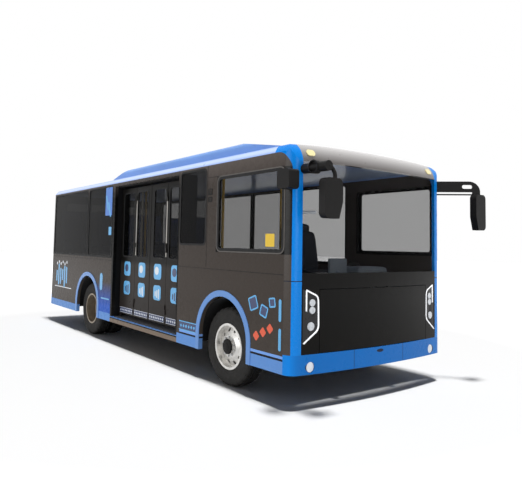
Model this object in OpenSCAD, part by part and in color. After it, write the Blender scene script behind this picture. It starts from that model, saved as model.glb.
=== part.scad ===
// Electric minibus on four wheel stations, forward is +X, ground is z = 0.

/* [Body] */
// width over the side walls
body_w = 2250; // [2150:10:2350]
// height of the roof crown
roof_z = 2425; // [2405:5:2445]
// underside of the skirts
skirt_z = 310; // [295:5:325]
// upper edge of the bumpers
bumper_z = 487; // [475:1:500]
// upper edge of the front flap
cowl_z = 1066; // [1050:2:1080]
// front flap's edge to the windscreen
sill_h = 143; // [135:1:150]
// windscreen's upper edge under the roof crown
header_h = 195; // [185:1:205]
// seam between lower and upper side panels
belt_z = 1190; // [1170:2:1210]
// roof rail's lower edge under the roof crown
rail_h = 113; // [105:1:120]
// thickness of walls and doors
wall = 46; // [40:2:52]
// bulge of the front face ahead of its corners
front_bow = 66; // [60:1:72]
// plan radius of the front corners
front_corner_r = 100; // [80:5:120]
// plan radius of the rear corners
rear_corner_r = 120; // [100:5:140]
// radius of the roof cove
cove_r = 160; // [140:5:180]
// radius of the front header curve
header_r = 230; // [200:5:260]
// radius of the rear roof edge
tail_r = 150; // [120:5:180]
// forward lean of the tail above the belt
tail_lean = 4; // [2:0.5:6]
// width of the blue front corner posts
post_w = 125; // [115:5:135]
// corner post to the front flap
flap_in = 200; // [190:5:220]
// rear hatch inside the body side
hatch_in = 425; // [400:5:450]
// rear window inside the body side
tail_glass_in = 225; // [200:5:250]

/* [Axles] */
// front axle behind the front corner plane
front_overhang = 1050; // [1030:5:1080]
// distance between the axles
wheelbase = 3740; // [3650:10:3850]
// tail behind the rear axle
rear_overhang = 1860; // [1750:10:1950]
// tyre outer diameter
tyre_d = 800; // [790:5:810]
// tyre section width
tyre_w = 205; // [195:5:215]
// bead seat diameter of the wheels
bead_d = 450; // [440:5:460]
// tyre outer face inside the body side
wheel_inset = 80; // [70:5:90]
// gap between the twin tyres
twin_gap = 31; // [25:1:40]
// kingpin inboard of the front wheel's centre
kingpin_in = 130; // [126:1:134]
// length of the steering arms
steer_arm = 180; // [170:5:190]
// steering lock to either side
steer_max = 38; // [30:1:40]
// hand holes in each wheel disc
hand_holes = 10; // [8:1:12]

/* [Arches] */
// radius of the opening in the side panel
arch_r = 426; // [420:2:440]
// radial width of the painted arch trim
arch_trim = 62; // [50:2:70]
// height of the arch centre
arch_z = 490; // [480:5:500]
// inner radius of the wheel housings
house_r = 492; // [488:2:500]
// housing walls inside the tyres
house_c = 50; // [40:2:60]

/* [Floor] */
// top of the low floor and of the door sill
low_floor = 392; // [386:1:398]
// front deck over the wheel centres
deck_f_up = 270; // [260:2:280]
// rear deck over the wheel centres
deck_r_up = 310; // [300:2:320]
// height of the rear platform over the rear deck
platform_h = 300; // [280:5:320]

/* [Door] */
// front jamb behind the front axle
jamb_f = 943; // [920:5:960]
// rear jamb ahead of the rear axle
jamb_r = 957; // [930:5:980]
// doorway's upper edge under the roof rail
door_drop = 44; // [38:1:50]
// outer face of the door panels inside the body side
leaf_in = 119; // [110:1:125]
// thickness of the door panels
leaf_t = 30; // [26:1:32]
// pivot line from its jamb
post_gap = 30; // [30:1:36]
// fold line outside the panels' outer face
fold_out = 8; // [7:0.5:9]
// height of the lower edge of the door glass
leaf_glass_z = 1250; // [1200:5:1300]

/* [Roof pod] */
// side of the pod inside the body side
pod_in = 190; // [170:5:240]
// height of the pod over the roof crown
pod_h = 118; // [100:2:130]
// start of the pod behind the front corner plane
pod_x = 300; // [290:5:340]
// length of the pod's front slope
pod_slope = 770; // [740:5:800]
// length of the pod's level top
pod_len = 2800; // [2700:10:2900]
// length of the pod's rear slope
pod_tail = 480; // [440:5:520]

/* [Mirrors] */
// left mirror's edge outside the body side
mirror_out = 355; // [340:5:370]
// kerb mirror's edge outside the body side
kerb_out = 150; // [140:5:160]
// front of the mirrors ahead of the front corner plane
mirror_x = 330; // [320:5:340]

/* [Fits] */
// running clearance of pins and hubs, on the radius
run_c = 0.05; // [0.03:0.01:0.08]
// gap between moving panels and their surrounds
move_c = 6; // [5.5:0.5:8]
// gap round the window glass
glass_c = 0.4; // [0.3:0.1:0.6]
// gap between bolted panels and members
joint_c = 0.3; // [0.2:0.1:0.5]

/* [Hidden] */
$fn = 96;
skin = 1.5;
body_l = front_overhang + wheelbase + rear_overhang;
ws_bot = cowl_z + sill_h;
ws_top = roof_z - header_h;
rail_z = roof_z - rail_h;
door_top = rail_z - door_drop;
front_h = cowl_z - bumper_z;
hw = body_w / 2;
bow_half = hw - front_corner_r + 5;
bow_r = (bow_half * bow_half + front_bow * front_bow) / (2 * front_bow);
bow_cx = front_bow - bow_r;
fc_y = hw - front_corner_r;
fc_x = bow_cx + sqrt(pow(bow_r - front_corner_r, 2) - fc_y * fc_y);
fc_ang = atan2(fc_y, fc_x - bow_cx);
rc_x = -body_l + rear_corner_r;
crown_r = 13000;
post_y = hw - post_w;
flap_hw = post_y - flap_in;
head_x = fc_x - 150;
cap_z = roof_z - header_r - 10;
in_y = hw - wall;
axle_f = -front_overhang;
axle_r = axle_f - wheelbase;
wheel_r = tyre_d / 2;
deck_f = wheel_r + deck_f_up;
deck_r = wheel_r + deck_r_up;
twin_pitch = tyre_w + twin_gap;
bead_y = tyre_w / 2 - 16.5;
bead_r = bead_d / 2;
wheel_y = hw - wheel_inset - tyre_w / 2;
twin_y = wheel_y - twin_pitch / 2;
king_y = wheel_y - kingpin_in;
house_t = 8;
house_f_y = king_y + (kingpin_in - tyre_w / 2) * cos(steer_max) - wheel_r * sin(steer_max) - house_c;
house_r_y = twin_y - twin_pitch / 2 - tyre_w / 2 - house_c;
rail_t = 70;
rail_y = house_f_y - house_t - 75 - rail_t / 2;
spring_r = 50;
motor_hl = rail_y - spring_r - 60;
deck_t = 30;
driver_y = in_y - 679;
dash_z = ws_bot - 50;
column_z = dash_z - 200;
column_x = -520;
column_l = 230;
door_front_x = axle_f - jamb_f;
door_rear_x = axle_r + jamb_r;
door_mid_x = (door_front_x + door_rear_x) / 2;
door_post_y = -hw + leaf_in + leaf_t / 2;
fold_w = (door_mid_x - door_rear_x - post_gap) / 2;
fold_y = -leaf_t / 2 - fold_out;
leaf_z0 = low_floor + 46;
leaf_z1 = door_top - 40;
pivot_r = 12;
boss_r = 22;
fold_r = 4.5;
low_front = door_front_x + 70;
low_rear = door_rear_x - 70;
podium_hl = house_r + 58;
podium_z = wheel_r + house_r + 38;
bench_x = axle_r - podium_hl;
bench_z = deck_r + platform_h;
hinge_r = 2.4;
flap_axis_z = cowl_z - move_c / 2;
hatch_top = belt_z - 40;
hatch_axis_z = hatch_top - move_c / 2;
hatch_hw = hw - hatch_in;
hatch_z = bumper_z + 40;
tail_glass = [-hw + tail_glass_in, hw - tail_glass_in, belt_z + 95, rail_z - 135];
fog_y = post_y - 107;
fog_z = skirt_z + 0.36 * (bumper_z - skirt_z);
fog_r = 0.27 * (bumper_z - skirt_z);
fog_x = bow_cx + sqrt(bow_r * bow_r - pow(fog_y + fog_r, 2)) - 2;
marker_cz = roof_z + 2 * skin - header_r;
marker_x = bow_r + skin - header_r;
marker_tilt = asin((ws_top + 76 - marker_cz) / header_r);
marker_turn = asin((post_y - 100) / (marker_x + header_r * cos(marker_tilt)));
mirror_y = hw + mirror_out;
mirror_hx = mirror_x - 35;
mirror_ly = mirror_y - 95;
mirror_lz = ws_top - 165;
mirror_ry = -hw + 185;
mirror_rz = ws_top - 185;
tube_y = -hw + 140;
tube_z = ws_top - 80;
arm_z = ws_top - 15;
arm_dx = mirror_hx + 20;
arm_dy = mirror_ly - hw + 50;
arm_l = sqrt(arm_dx * arm_dx + arm_dy * arm_dy);
kerb_y = hw + kerb_out;
frame_x = (body_l - mirror_x) / 2;
frame_y = -(mirror_y - kerb_y) / 2;

// side windows behind the cab: first edge, last edge, count on the left side, gap
pane_x0 = axle_f - 340;
pane_x1 = -body_l + 150;
left_panes = 5;
pane_gap = 40;
pane_pitch = (pane_x0 - pane_x1 + pane_gap) / left_panes;
cab_window = [axle_f - 120, -110, belt_z + 200, rail_z - 150];
pane_z0 = belt_z + 45;
pane_z1 = rail_z - 25;

// right side windows: x0, x1, z0, z1
right_windows = [
    cab_window,
    [door_front_x + 40, pane_x0, belt_z + 250, pane_z1],
    [door_rear_x - 1010, door_rear_x - 75, pane_z0, pane_z1],
    [pane_x1, door_rear_x - 1010 - pane_gap, pane_z0, pane_z1]
];
// left side windows: x0, x1, z0, z1
left_windows = concat([cab_window], [
    for (i = [0 : left_panes - 1])
        [pane_x0 - (i + 1) * pane_pitch + pane_gap, pane_x0 - i * pane_pitch, pane_z0, pane_z1]
]);

// frame sections: x0, x1, z of the underside, z of the top
rail_drop = 100;
rail_f = [low_front + 40 + rail_drop, -60, deck_f - deck_t - 120, deck_f - deck_t];
rail_m = [low_rear - 40, low_front + 40, low_floor - 80, low_floor - 20];
rail_r = [-body_l + 90, low_rear - 40 - rail_drop, deck_r - deck_t - 120, deck_r - deck_t];
// crossmembers of the front, middle and rear sections: x
cross_f = [-140, axle_f + 350, axle_f - 500];
cross_m = [rail_m[1] - 500, (rail_m[0] + rail_m[1]) / 2, rail_m[0] + 500];
cross_r = [axle_r + 450, axle_r - 500, -body_l + 190];
jack_x = (rail_m[0] + rail_m[1]) / 2 - 250;

// half length of a wheel housing at the underside of a deck
function house_chord(z) = sqrt(pow(house_r + house_t, 2) - pow(z - deck_t - wheel_r, 2)) + joint_c;
// inner edges of the front and rear housings' walls
edge_f = house_f_y - house_t;
edge_r = house_r_y - house_t;
// floor panels over the whole width: x0, x1, half width, z0, z1
wide_panels = [
    [low_front + joint_c, fc_x, edge_f, deck_f - deck_t, deck_f],
    [low_front - 30, low_front - joint_c, in_y, low_floor + joint_c, deck_f],
    [low_rear, low_front, in_y, low_floor - 20, low_floor],
    [low_rear + joint_c, low_rear + 30, in_y, low_floor + joint_c, deck_r],
    [bench_x, low_rear - joint_c, edge_r, deck_r - deck_t, deck_r],
    [bench_x - 30, bench_x - joint_c, in_y, deck_r - deck_t, bench_z - 25 - joint_c],
    [rc_x, bench_x - joint_c, in_y, bench_z - 25, bench_z]
];
// floor panels on both sides: x0, x1, inner edge, outer edge, z0, z1
side_panels = [
    [axle_f + house_chord(deck_f), fc_x, edge_f + joint_c, in_y, deck_f - deck_t, deck_f],
    [low_front + joint_c, axle_f - house_chord(deck_f), edge_f + joint_c, in_y, deck_f - deck_t, deck_f],
    [axle_r + house_chord(deck_r), low_rear - joint_c, edge_r + joint_c, in_y, deck_r - deck_t, deck_r],
    [bench_x, axle_r - house_chord(deck_r), edge_r + joint_c, in_y, deck_r - deck_t, deck_r],
    [bench_x, axle_r + podium_hl, edge_r - 15, in_y, podium_z - 15, podium_z],
    [bench_x, axle_r + podium_hl, edge_r - 15, edge_r - joint_c, deck_r + joint_c, podium_z - 15 - joint_c],
    [axle_r + podium_hl - 15, axle_r + podium_hl, edge_r, in_y, deck_r + joint_c, podium_z - 15 - joint_c]
];

// seats: width, pitch across the rear bench, pitch along the low floor
seat_w = 400;
bench_pitch = seat_w + 20;
low_pitch = 800;
seat_h = 0.738 * (roof_z - wall - bench_z);
bench_seats = floor((2 * in_y - 40) / bench_pitch);
low_seats = floor((door_front_x - door_rear_x - 200) / low_pitch);
// passenger seats: x of the cushion's front, y, height of the footing
seat_rows = concat(
    [for (x = [axle_r + 590, axle_r - 140]) for (s = [-1, 1]) [x, s * (in_y - 264), podium_z]],
    [for (i = [0 : bench_seats - 1]) [-body_l + 710, (i - (bench_seats - 1) / 2) * bench_pitch, bench_z]],
    [for (i = [0 : low_seats - 1]) [door_front_x - 200 - i * low_pitch, in_y - 239, low_floor]]
);
// stanchions: x, y, z of the foot
stanchion_rows = [
    [door_front_x + 110, -hw + 565, deck_f],
    [door_rear_x - 125, -hw + 565, deck_r],
    [door_rear_x - 125, 200, deck_r],
    [door_front_x + 110, 380, deck_f]
];

// lenses of a headlamp: share of the width, share of the height, radius
lens_rows = [
    [0.4, 0.79, 32],
    [0.4, 0.675, 32],
    [0.475, 0.427, 38]
];
// fold hinges of the door panels: height
fold_rows = [leaf_z0 + 120, (leaf_z0 + leaf_z1) / 2, leaf_z1 - 240];

// height of the roof's inner face at distance y from the middle
function ceiling(y) = roof_z - crown_r + sqrt(pow(crown_r - wall, 2) - y * y);

// puts the bus into the shared frame
module placed() {
    translate([frame_x, frame_y, 0])
        children();
}

// box from two corners
module span(a, b) {
    translate(a)
        cube(b - a);
}

// mirrors a right hand piece onto the left
module left_of() {
    mirror([0, 1, 0])
        children();
}

// plan outline drawn in by d
module plan2d(d) {
    far = bow_r + 400;
    difference() {
        union() {
            translate([rc_x, -hw + d])
                square([fc_x - rc_x, 2 * (hw - d)]);
            translate([-body_l + d, -hw + rear_corner_r])
                square([rear_corner_r, 2 * (hw - rear_corner_r)]);
            intersection() {
                translate([bow_cx, 0])
                    circle(bow_r - d, $fn = 720);
                polygon([
                    [fc_x - 100, -fc_y],
                    [fc_x, -fc_y],
                    [bow_cx + far * cos(fc_ang), -far * sin(fc_ang)],
                    [bow_cx + far * cos(fc_ang), far * sin(fc_ang)],
                    [fc_x, fc_y],
                    [fc_x - 100, fc_y]
                ]);
            }
            for (s = [-1, 1]) {
                translate([fc_x, s * fc_y])
                    circle(front_corner_r - d);
                translate([rc_x, s * (hw - rear_corner_r)])
                    circle(rear_corner_r - d);
            }
        }
    }
}

// cross-section outline drawn in by d
module section2d(d) {
    cy = hw + skin - cove_r;
    intersection() {
        union() {
            translate([-cy, 0])
                square([2 * cy, roof_z + skin - d]);
            translate([-hw - skin + d, 0])
                square([2 * (hw + skin - d), roof_z + skin - cove_r]);
            for (s = [-1, 1])
                translate([s * cy, roof_z + skin - cove_r])
                    circle(cove_r - d);
        }
        translate([0, roof_z - crown_r])
            circle(crown_r - d, $fn = 1440);
    }
}

// side outline with the leaning tail, drawn in by d
module side2d(d) {
    tx = -body_l - skin;
    tz = roof_z + 2 * skin - tail_r;
    cx = tx + tail_r / cos(tail_lean) + (tz - belt_z) * tan(tail_lean);
    union() {
        polygon([
            [200, 0],
            [tx + d, 0],
            [tx + d, belt_z + d * tan(tail_lean / 2)],
            [cx - (tail_r - d) * cos(tail_lean), tz + (tail_r - d) * sin(tail_lean)],
            [cx, tz],
            [cx, tz + tail_r - d],
            [200, tz + tail_r - d]
        ]);
        translate([cx, tz])
            circle(tail_r - d);
    }
}

// bowed front with its curved header, drawn in by d
module bowed(d) {
    tz = roof_z + 2 * skin - header_r;
    cr = bow_r + skin - header_r;
    translate([bow_cx, 0, 0])
        rotate_extrude($fn = 720)
            union() {
                polygon([
                    [0, 0],
                    [bow_r + skin - d, 0],
                    [bow_r + skin - d, tz],
                    [cr, tz],
                    [cr, tz + header_r - d],
                    [0, tz + header_r - d]
                ]);
                translate([cr, tz])
                    circle(header_r - d);
            }
}

// outer form of the body drawn in by d
module envelope(d) {
    intersection() {
        translate([0, 0, d > 0 ? skirt_z - 60 : skirt_z])
            linear_extrude(roof_z)
                plan2d(d);
        translate([-body_l - 300, 0, 0])
            rotate([90, 0, 90])
                linear_extrude(body_l + 700)
                    section2d(d);
        rotate([90, 0, 0])
            linear_extrude(body_w + 200, center = true)
                side2d(d);
        bowed(d);
    }
}

// vertical skin of the body between two heights
module ring(z0, z1, d0, d1) {
    translate([0, 0, z0])
        linear_extrude(z1 - z0)
            difference() {
                plan2d(d0);
                plan2d(d1);
            }
}

// hollow body form
module shell() {
    difference() {
        envelope(0);
        envelope(wall);
    }
}

// rectangle with rounded corners, from x0,z0 to x1,z1
module round_rect(x0, x1, z0, z1, r) {
    union() {
        translate([x0 + r, z0])
            square([x1 - x0 - 2 * r, z1 - z0]);
        translate([x0, z0 + r])
            square([x1 - x0, z1 - z0 - 2 * r]);
        for (x = [x0 + r, x1 - r])
            for (z = [z0 + r, z1 - r])
                translate([x, z])
                    circle(r);
    }
}

// prism along Y from y0 to y1 over a drawing of x and z
module along_y(y0, y1) {
    translate([0, y1, 0])
        rotate([90, 0, 0])
            linear_extrude(y1 - y0)
                children();
}

// prism along X from x0 to x1 over a drawing of y and z
module along_x(x0, x1) {
    translate([x0, 0, 0])
        rotate([90, 0, 90])
            linear_extrude(x1 - x0)
                children();
}

// cylinder along Y
module bar_y(x, y0, y1, z, r) {
    translate([x, y0, z])
        rotate([-90, 0, 0])
            cylinder(h = y1 - y0, r = r);
}

// side window opening
module window(w, c) {
    round_rect(w[0] + c, w[1] - c, w[2] + c, w[3] - c, 60 - c);
}

// opening of both arches in the side drawing
module arch2d(r) {
    for (x = [axle_f, axle_r]) {
        translate([x, arch_z])
            circle(r);
        translate([x - r, 0])
            square([2 * r, arch_z]);
    }
}

// frame rails on three levels, crossmembers, outriggers and jack pads
module chassis_frame() {
    color("DimGray")
        placed() {
            for (s = [-1, 1]) {
                translate([0, s * rail_y, 0])
                    along_y(-rail_t / 2, rail_t / 2)
                        union() {
                            for (r = [rail_f, rail_m, rail_r])
                                translate([r[0], r[2]])
                                    square([r[1] - r[0], r[3] - r[2]]);
                            polygon([
                                [rail_m[1] + joint_c, rail_m[2]], [rail_f[0] - joint_c, rail_f[2]],
                                [rail_f[0] - joint_c, rail_f[3]], [rail_m[1] + joint_c, rail_m[3]]
                            ]);
                            polygon([
                                [rail_m[0] - joint_c, rail_m[2]], [rail_r[1] + joint_c, rail_r[2]],
                                [rail_r[1] + joint_c, rail_r[3]], [rail_m[0] - joint_c, rail_m[3]]
                            ]);
                        }
                translate([jack_x, s * rail_y, rail_m[2] - 12])
                    cylinder(h = 12 - joint_c, r = 45);
            }
            for (x = cross_f)
                crossmember(x, rail_f[2]);
            for (x = cross_m) {
                crossmember(x, rail_m[2]);
                for (s = [0, 1])
                    mirror([0, s, 0])
                        span([x - 30, rail_y + rail_t / 2 + joint_c, rail_m[2] + 10],
                            [x + 30, in_y, rail_m[3]]);
            }
            for (x = cross_r)
                crossmember(x, rail_r[2]);
        }
}

// crossmember between the rails with its underside at z
module crossmember(x, z) {
    half = rail_y - rail_t / 2 - joint_c;
    span([x - 35, -half, z], [x + 35, half, z + 60]);
}

// decks, risers, seat podiums and rear platform
module floor() {
    color("SlateGray")
        placed() {
            for (p = wide_panels)
                span([p[0], -p[2], p[3]], [p[1], p[2], p[4]]);
            for (p = side_panels)
                for (s = [0, 1])
                    mirror([0, s, 0])
                        span([p[0], p[2], p[4]], [p[1], p[3], p[5]]);
        }
}

// housing of a right hand wheel station at x with its wall at distance y
module housing(x, y) {
    difference() {
        bar_y(x, -in_y, -y + house_t, wheel_r, house_r + house_t);
        bar_y(x, -in_y - 10, -y, wheel_r, house_r);
        span([x - 700, -in_y - 20, -200], [x + 700, 0, wheel_r - 20]);
        span([x - 130, -in_y - 20, 0], [x + 130, 0, wheel_r + 110]);
    }
}

// housings over the wheels
module wheel_housings() {
    color("Black")
        placed()
            for (s = [0, 1])
                mirror([0, s, 0]) {
                    housing(axle_f, house_f_y);
                    housing(axle_r, house_r_y);
                }
}

// drive battery under the rear platform
module battery_pack() {
    color("DarkSlateGray")
        placed()
            span([-body_l + 130, -in_y + 259, rail_r[3]], [bench_x - 70, in_y - 259, bench_z - 35]);
}

// steered beam axle with its kingpins
module front_axle() {
    color("Gray")
        placed()
            union() {
                span([axle_f - 45, -king_y + 30, wheel_r - 40], [axle_f + 45, king_y - 30, wheel_r + 40]);
                for (s = [-1, 1])
                    translate([axle_f, s * king_y, wheel_r]) {
                        cylinder(h = 90, r = 42, center = true);
                        cylinder(h = 170, r = 18, center = true);
                    }
            }
}

// driven axle with the motor in its middle
module rear_axle() {
    color("Gray")
        placed()
            union() {
                bar_y(axle_r, -twin_y + 40, twin_y - 40, wheel_r, 62);
                bar_y(axle_r, -motor_hl, motor_hl, wheel_r, 150);
                bar_y(axle_r, -twin_y - 70, twin_y + 70, wheel_r, 45);
            }
}

// bellows between the axles and the frame
module air_springs() {
    color("Black")
        placed()
            for (s = [-1, 1]) {
                translate([axle_f, s * rail_y, wheel_r + 40])
                    cylinder(h = rail_f[2] - wheel_r - 40, r = 44);
                difference() {
                    translate([axle_r, s * rail_y, wheel_r])
                        cylinder(h = rail_r[2] - wheel_r, r = spring_r);
                    bar_y(axle_r, -twin_y, twin_y, wheel_r, 62 + joint_c);
                }
            }
}

// roof panel with its coves and the tail edge
module roof() {
    color("RoyalBlue")
        placed()
            intersection() {
                shell();
                span([-body_l - 50, -hw - 50, rail_z], [head_x, hw + 50, roof_z + 50]);
            }
}

// long fairing on the roof
module roof_pod() {
    pod_hw = hw - pod_in;
    top_x = -pod_x - pod_slope;
    end_x = top_x - pod_len;
    color("CornflowerBlue")
        placed()
            difference() {
                intersection() {
                    along_y(-pod_hw, pod_hw)
                        polygon([
                            [end_x - pod_tail, roof_z - 90], [end_x - pod_tail, roof_z + 5],
                            [end_x, roof_z + pod_h], [top_x, roof_z + pod_h],
                            [-pod_x, roof_z - 16], [-pod_x, roof_z - 90]
                        ]);
                    along_x(end_x - pod_tail - 50, 0)
                        round_rect(-pod_hw, pod_hw, roof_z - 225, roof_z + pod_h, 60);
                }
                envelope(-0.8);
            }
}

// grey cap over the windscreen
module front_header() {
    color("Gray")
        placed()
            intersection() {
                shell();
                span([head_x, -post_y, ws_top], [200, post_y, roof_z + 50]);
            }
}

// blue front corner posts running up into the roof rail
module corner_posts() {
    color("DodgerBlue")
        placed()
            for (s = [0, 1])
                mirror([0, s, 0])
                    union() {
                        intersection() {
                            ring(bumper_z, cap_z, 0, wall);
                            span([fc_x + joint_c, -hw - 50, 0], [200, -post_y, roof_z]);
                        }
                        intersection() {
                            envelope(0);
                            union() {
                                span([fc_x + joint_c, -hw - 50, cap_z], [200, -post_y, roof_z + 50]);
                                span([head_x, -hw - 50, rail_z], [fc_x + 1, -post_y, roof_z + 50]);
                            }
                        }
                    }
}

// fixed black surround of the front flap
module front_cowl() {
    color("Black")
        placed()
            union() {
                difference() {
                    intersection() {
                        ring(bumper_z, ws_bot, 0, wall);
                        span([fc_x - 100, -post_y, 0], [200, post_y, ws_bot]);
                    }
                    span([-200, -flap_hw, 0], [300, flap_hw, cowl_z]);
                    for (s = [0, 1])
                        mirror([0, s, 0])
                            along_x(-200, 300)
                                lamp2d(glass_c);
                    for (s = [-1, 1])
                        span([front_bow - 12, s * 85 - 32, 0], [300, s * 85 + 32, cowl_z + 6]);
                }
                for (s = [-1, 1])
                    hinge_leaf(front_bow, s * (135 + joint_c), flap_axis_z, -1, 1);
            }
}

// hinge knuckle at a panel's seam, 50 long, inward by f and joined upward or downward by u
module hinge_leaf(x, y, z, f, u) {
    union() {
        bar_y(x, y - 25, y + 25, z, hinge_r);
        span([x + min(0, f * 8), y - 25, z + min(0, u * 6)], [x + max(0, f * 8), y + 25, z + max(0, u * 6)]);
    }
}

// corners of a headlamp from its upper outer one round to its lower outer one
function lamp_corners() = [
    [-post_y + 15, cowl_z + 2],
    [-flap_hw - 22, bumper_z + 0.881 * front_h],
    [-flap_hw - 6, bumper_z + 0.394 * front_h],
    [-post_y + 15, bumper_z + 0.15 * front_h]
];

// outline of a headlamp, wider by c
module lamp2d(c) {
    p = lamp_corners();
    polygon([p[0] + [-c, c], p[1] + [c, c], p[2] + [c, -c], p[3] + [-c, -c]]);
}

// light bracket along the inner edges of a headlamp
module bracket2d() {
    p = lamp_corners();
    polygon([p[0], p[1], p[2], p[3], p[3] + [0, 26], p[2] + [-20, 12], p[1] + [-20, -12], p[0] + [0, -24]]);
}

// hinged front panel between the lamps
module front_flap() {
    color("Black")
        placed()
            union() {
                intersection() {
                    ring(bumper_z + move_c, cowl_z - move_c, 0, wall);
                    span([-200, -flap_hw + move_c, 0], [300, flap_hw - move_c, 2000]);
                }
                for (s = [-1, 1])
                    hinge_leaf(front_bow, s * 85, flap_axis_z, -1, -1);
            }
}

// bore for a fog lamp, wider by c
module fog_hole(s, c) {
    translate([-150, s * fog_y, fog_z])
        rotate([0, 90, 0])
            cylinder(h = 400, r = fog_r + c);
}

// painted bumper round the front corners
module front_bumper() {
    color("DodgerBlue")
        placed()
            difference() {
                intersection() {
                    ring(skirt_z, bumper_z, 0, wall);
                    span([fc_x, -hw - 50, 0], [200, hw + 50, 1000]);
                }
                for (s = [-1, 1])
                    fog_hole(s, glass_c);
            }
}

// rear window wall with its corners
module rear_upper() {
    color("DimGray")
        placed()
            difference() {
                intersection() {
                    shell();
                    span([-body_l - 50, -hw - 50, belt_z], [rc_x, hw + 50, rail_z]);
                }
                along_x(-body_l - 100, -body_l + 400)
                    tail_window(0);
            }
}

// rear wall round the hatch
module rear_lower() {
    color("DimGray")
        placed()
            union() {
                difference() {
                    intersection() {
                        ring(bumper_z, belt_z, 0, wall);
                        span([-body_l - 50, -hw - 50, 0], [rc_x, hw + 50, 2000]);
                    }
                    span([-body_l - 50, -hatch_hw, hatch_z], [rc_x, hatch_hw, hatch_top]);
                    for (s = [-1, 1])
                        span([-body_l - 50, s * 85 - 32, hatch_z],
                            [-body_l + 12, s * 85 + 32, hatch_top + 6]);
                }
                for (s = [-1, 1])
                    hinge_leaf(-body_l, s * (135 + joint_c), hatch_axis_z, 1, 1);
            }
}

// hinged rear hatch
module rear_hatch() {
    color("DimGray")
        placed()
            union() {
                span([-body_l, -hatch_hw + move_c, hatch_z + move_c],
                    [-body_l + wall, hatch_hw - move_c, hatch_top - move_c]);
                for (s = [-1, 1])
                    hinge_leaf(-body_l, s * 85, hatch_axis_z, 1, -1);
            }
}

// rear bumper round the corners
module rear_bumper() {
    color("DodgerBlue")
        placed()
            intersection() {
                ring(skirt_z, bumper_z, 0, wall);
                span([-body_l - 50, -hw - 50, 0], [rc_x, hw + 50, 1000]);
            }
}

// curved windscreen
module windscreen() {
    color("Black")
        placed()
            intersection() {
                ring(ws_bot + glass_c, ws_top - glass_c, 4, 12);
                span([-200, -post_y + glass_c, 0], [300, post_y - glass_c, 3000]);
            }
}

// outline of the rear window, drawn in by c
module tail_window(c) {
    w = tail_glass;
    round_rect(w[0] + c, w[1] - c, w[2] + c, w[3] - c, 60 - c);
}

// rear window pane
module rear_window() {
    color("Black")
        placed()
            intersection() {
                difference() {
                    envelope(4);
                    envelope(10);
                }
                along_x(-body_l - 100, -body_l + 400)
                    tail_window(glass_c);
            }
}

// panes of both sides
module side_glass() {
    color("Black")
        placed() {
            along_y(-hw + 3, -hw + 9)
                for (w = right_windows)
                    window(w, glass_c);
            along_y(hw - 9, hw - 3)
                for (w = left_windows)
                    window(w, glass_c);
        }
}

// window band of the right side
module side_upper_right() {
    color("DimGray")
        placed()
            difference() {
                span([rc_x, -hw, belt_z], [fc_x, -in_y, rail_z]);
                along_y(-hw - 10, -in_y + 10)
                    for (w = right_windows)
                        window(w, 0);
                span([door_rear_x, -hw - 10, 0], [door_front_x, -in_y + 10, door_top]);
            }
}

// window band of the left side
module side_upper_left() {
    color("DimGray")
        placed()
            difference() {
                span([rc_x, in_y, belt_z], [fc_x, hw, rail_z]);
                along_y(in_y - 10, hw + 10)
                    for (w = left_windows)
                        window(w, 0);
            }
}

// lower panels of the right side
module side_lower_right() {
    color("DimGray")
        placed()
            difference() {
                span([rc_x, -hw, skirt_z], [fc_x, -in_y, belt_z]);
                along_y(-hw - 10, -in_y + 10)
                    arch2d(arch_r);
                span([door_rear_x, -hw - 10, low_floor - 12], [door_front_x, -in_y + 10, 3000]);
            }
}

// lower panels of the left side
module side_lower_left() {
    color("DimGray")
        placed()
            difference() {
                span([rc_x, in_y, skirt_z], [fc_x, hw, belt_z]);
                along_y(in_y - 10, hw + 10)
                    arch2d(arch_r);
            }
}

// painted trims round the arches
module arch_trims() {
    color("LightSkyBlue")
        placed()
            for (s = [0, 1])
                mirror([0, s, 0])
                    along_y(-hw - 8, -hw)
                        difference() {
                            arch2d(arch_r + arch_trim);
                            arch2d(arch_r);
                            translate([-body_l, 0])
                                square([body_l + 200, skirt_z]);
                        }
}

// jambs and header of the doorway with the door's bearings
module door_frame() {
    color("Black")
        placed()
            difference() {
                union() {
                    span([door_rear_x - 40, -in_y, low_floor], [door_rear_x, -hw + 230, door_top + 18]);
                    span([door_front_x, -in_y, low_floor], [door_front_x + 40, -hw + 230, door_top + 18]);
                    span([door_rear_x, -in_y, door_top - 14], [door_front_x, -hw + 230, door_top + 18]);
                    for (s = [0, 1])
                        at_post(s) {
                            translate([0, 0, low_floor])
                                cylinder(h = 10, r = boss_r);
                            span([-post_gap - 1, -boss_r, low_floor], [0, boss_r, low_floor + 10]);
                        }
                }
                for (s = [0, 1])
                    at_post(s) {
                        translate([0, 0, low_floor + 2])
                            cylinder(h = 30, r = pivot_r + run_c);
                        translate([0, 0, door_top - 30])
                            cylinder(h = 40, r = pivot_r + run_c);
                    }
            }
}

// places a piece drawn about the rear pivot line, s = 0 at the rear jamb, s = 1 at the front jamb
module at_post(s) {
    translate([s == 0 ? door_rear_x + post_gap : door_front_x - post_gap, door_post_y, 0])
        mirror([s, 0, 0])
            children();
}

// opening for the glass of the post panel, drawn in by c
module post_pane2d(c) {
    round_rect(45 + c, fold_w - 45 - c, leaf_glass_z + c, leaf_z1 - 60 - c, 40 - c);
}

// opening for the glass of the leading panel, drawn in by c
module lead_pane2d(c) {
    round_rect(fold_w + 30 + c, 2 * fold_w - 75 - c, leaf_glass_z + c, leaf_z1 - 60 - c, 40 - c);
}

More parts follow.
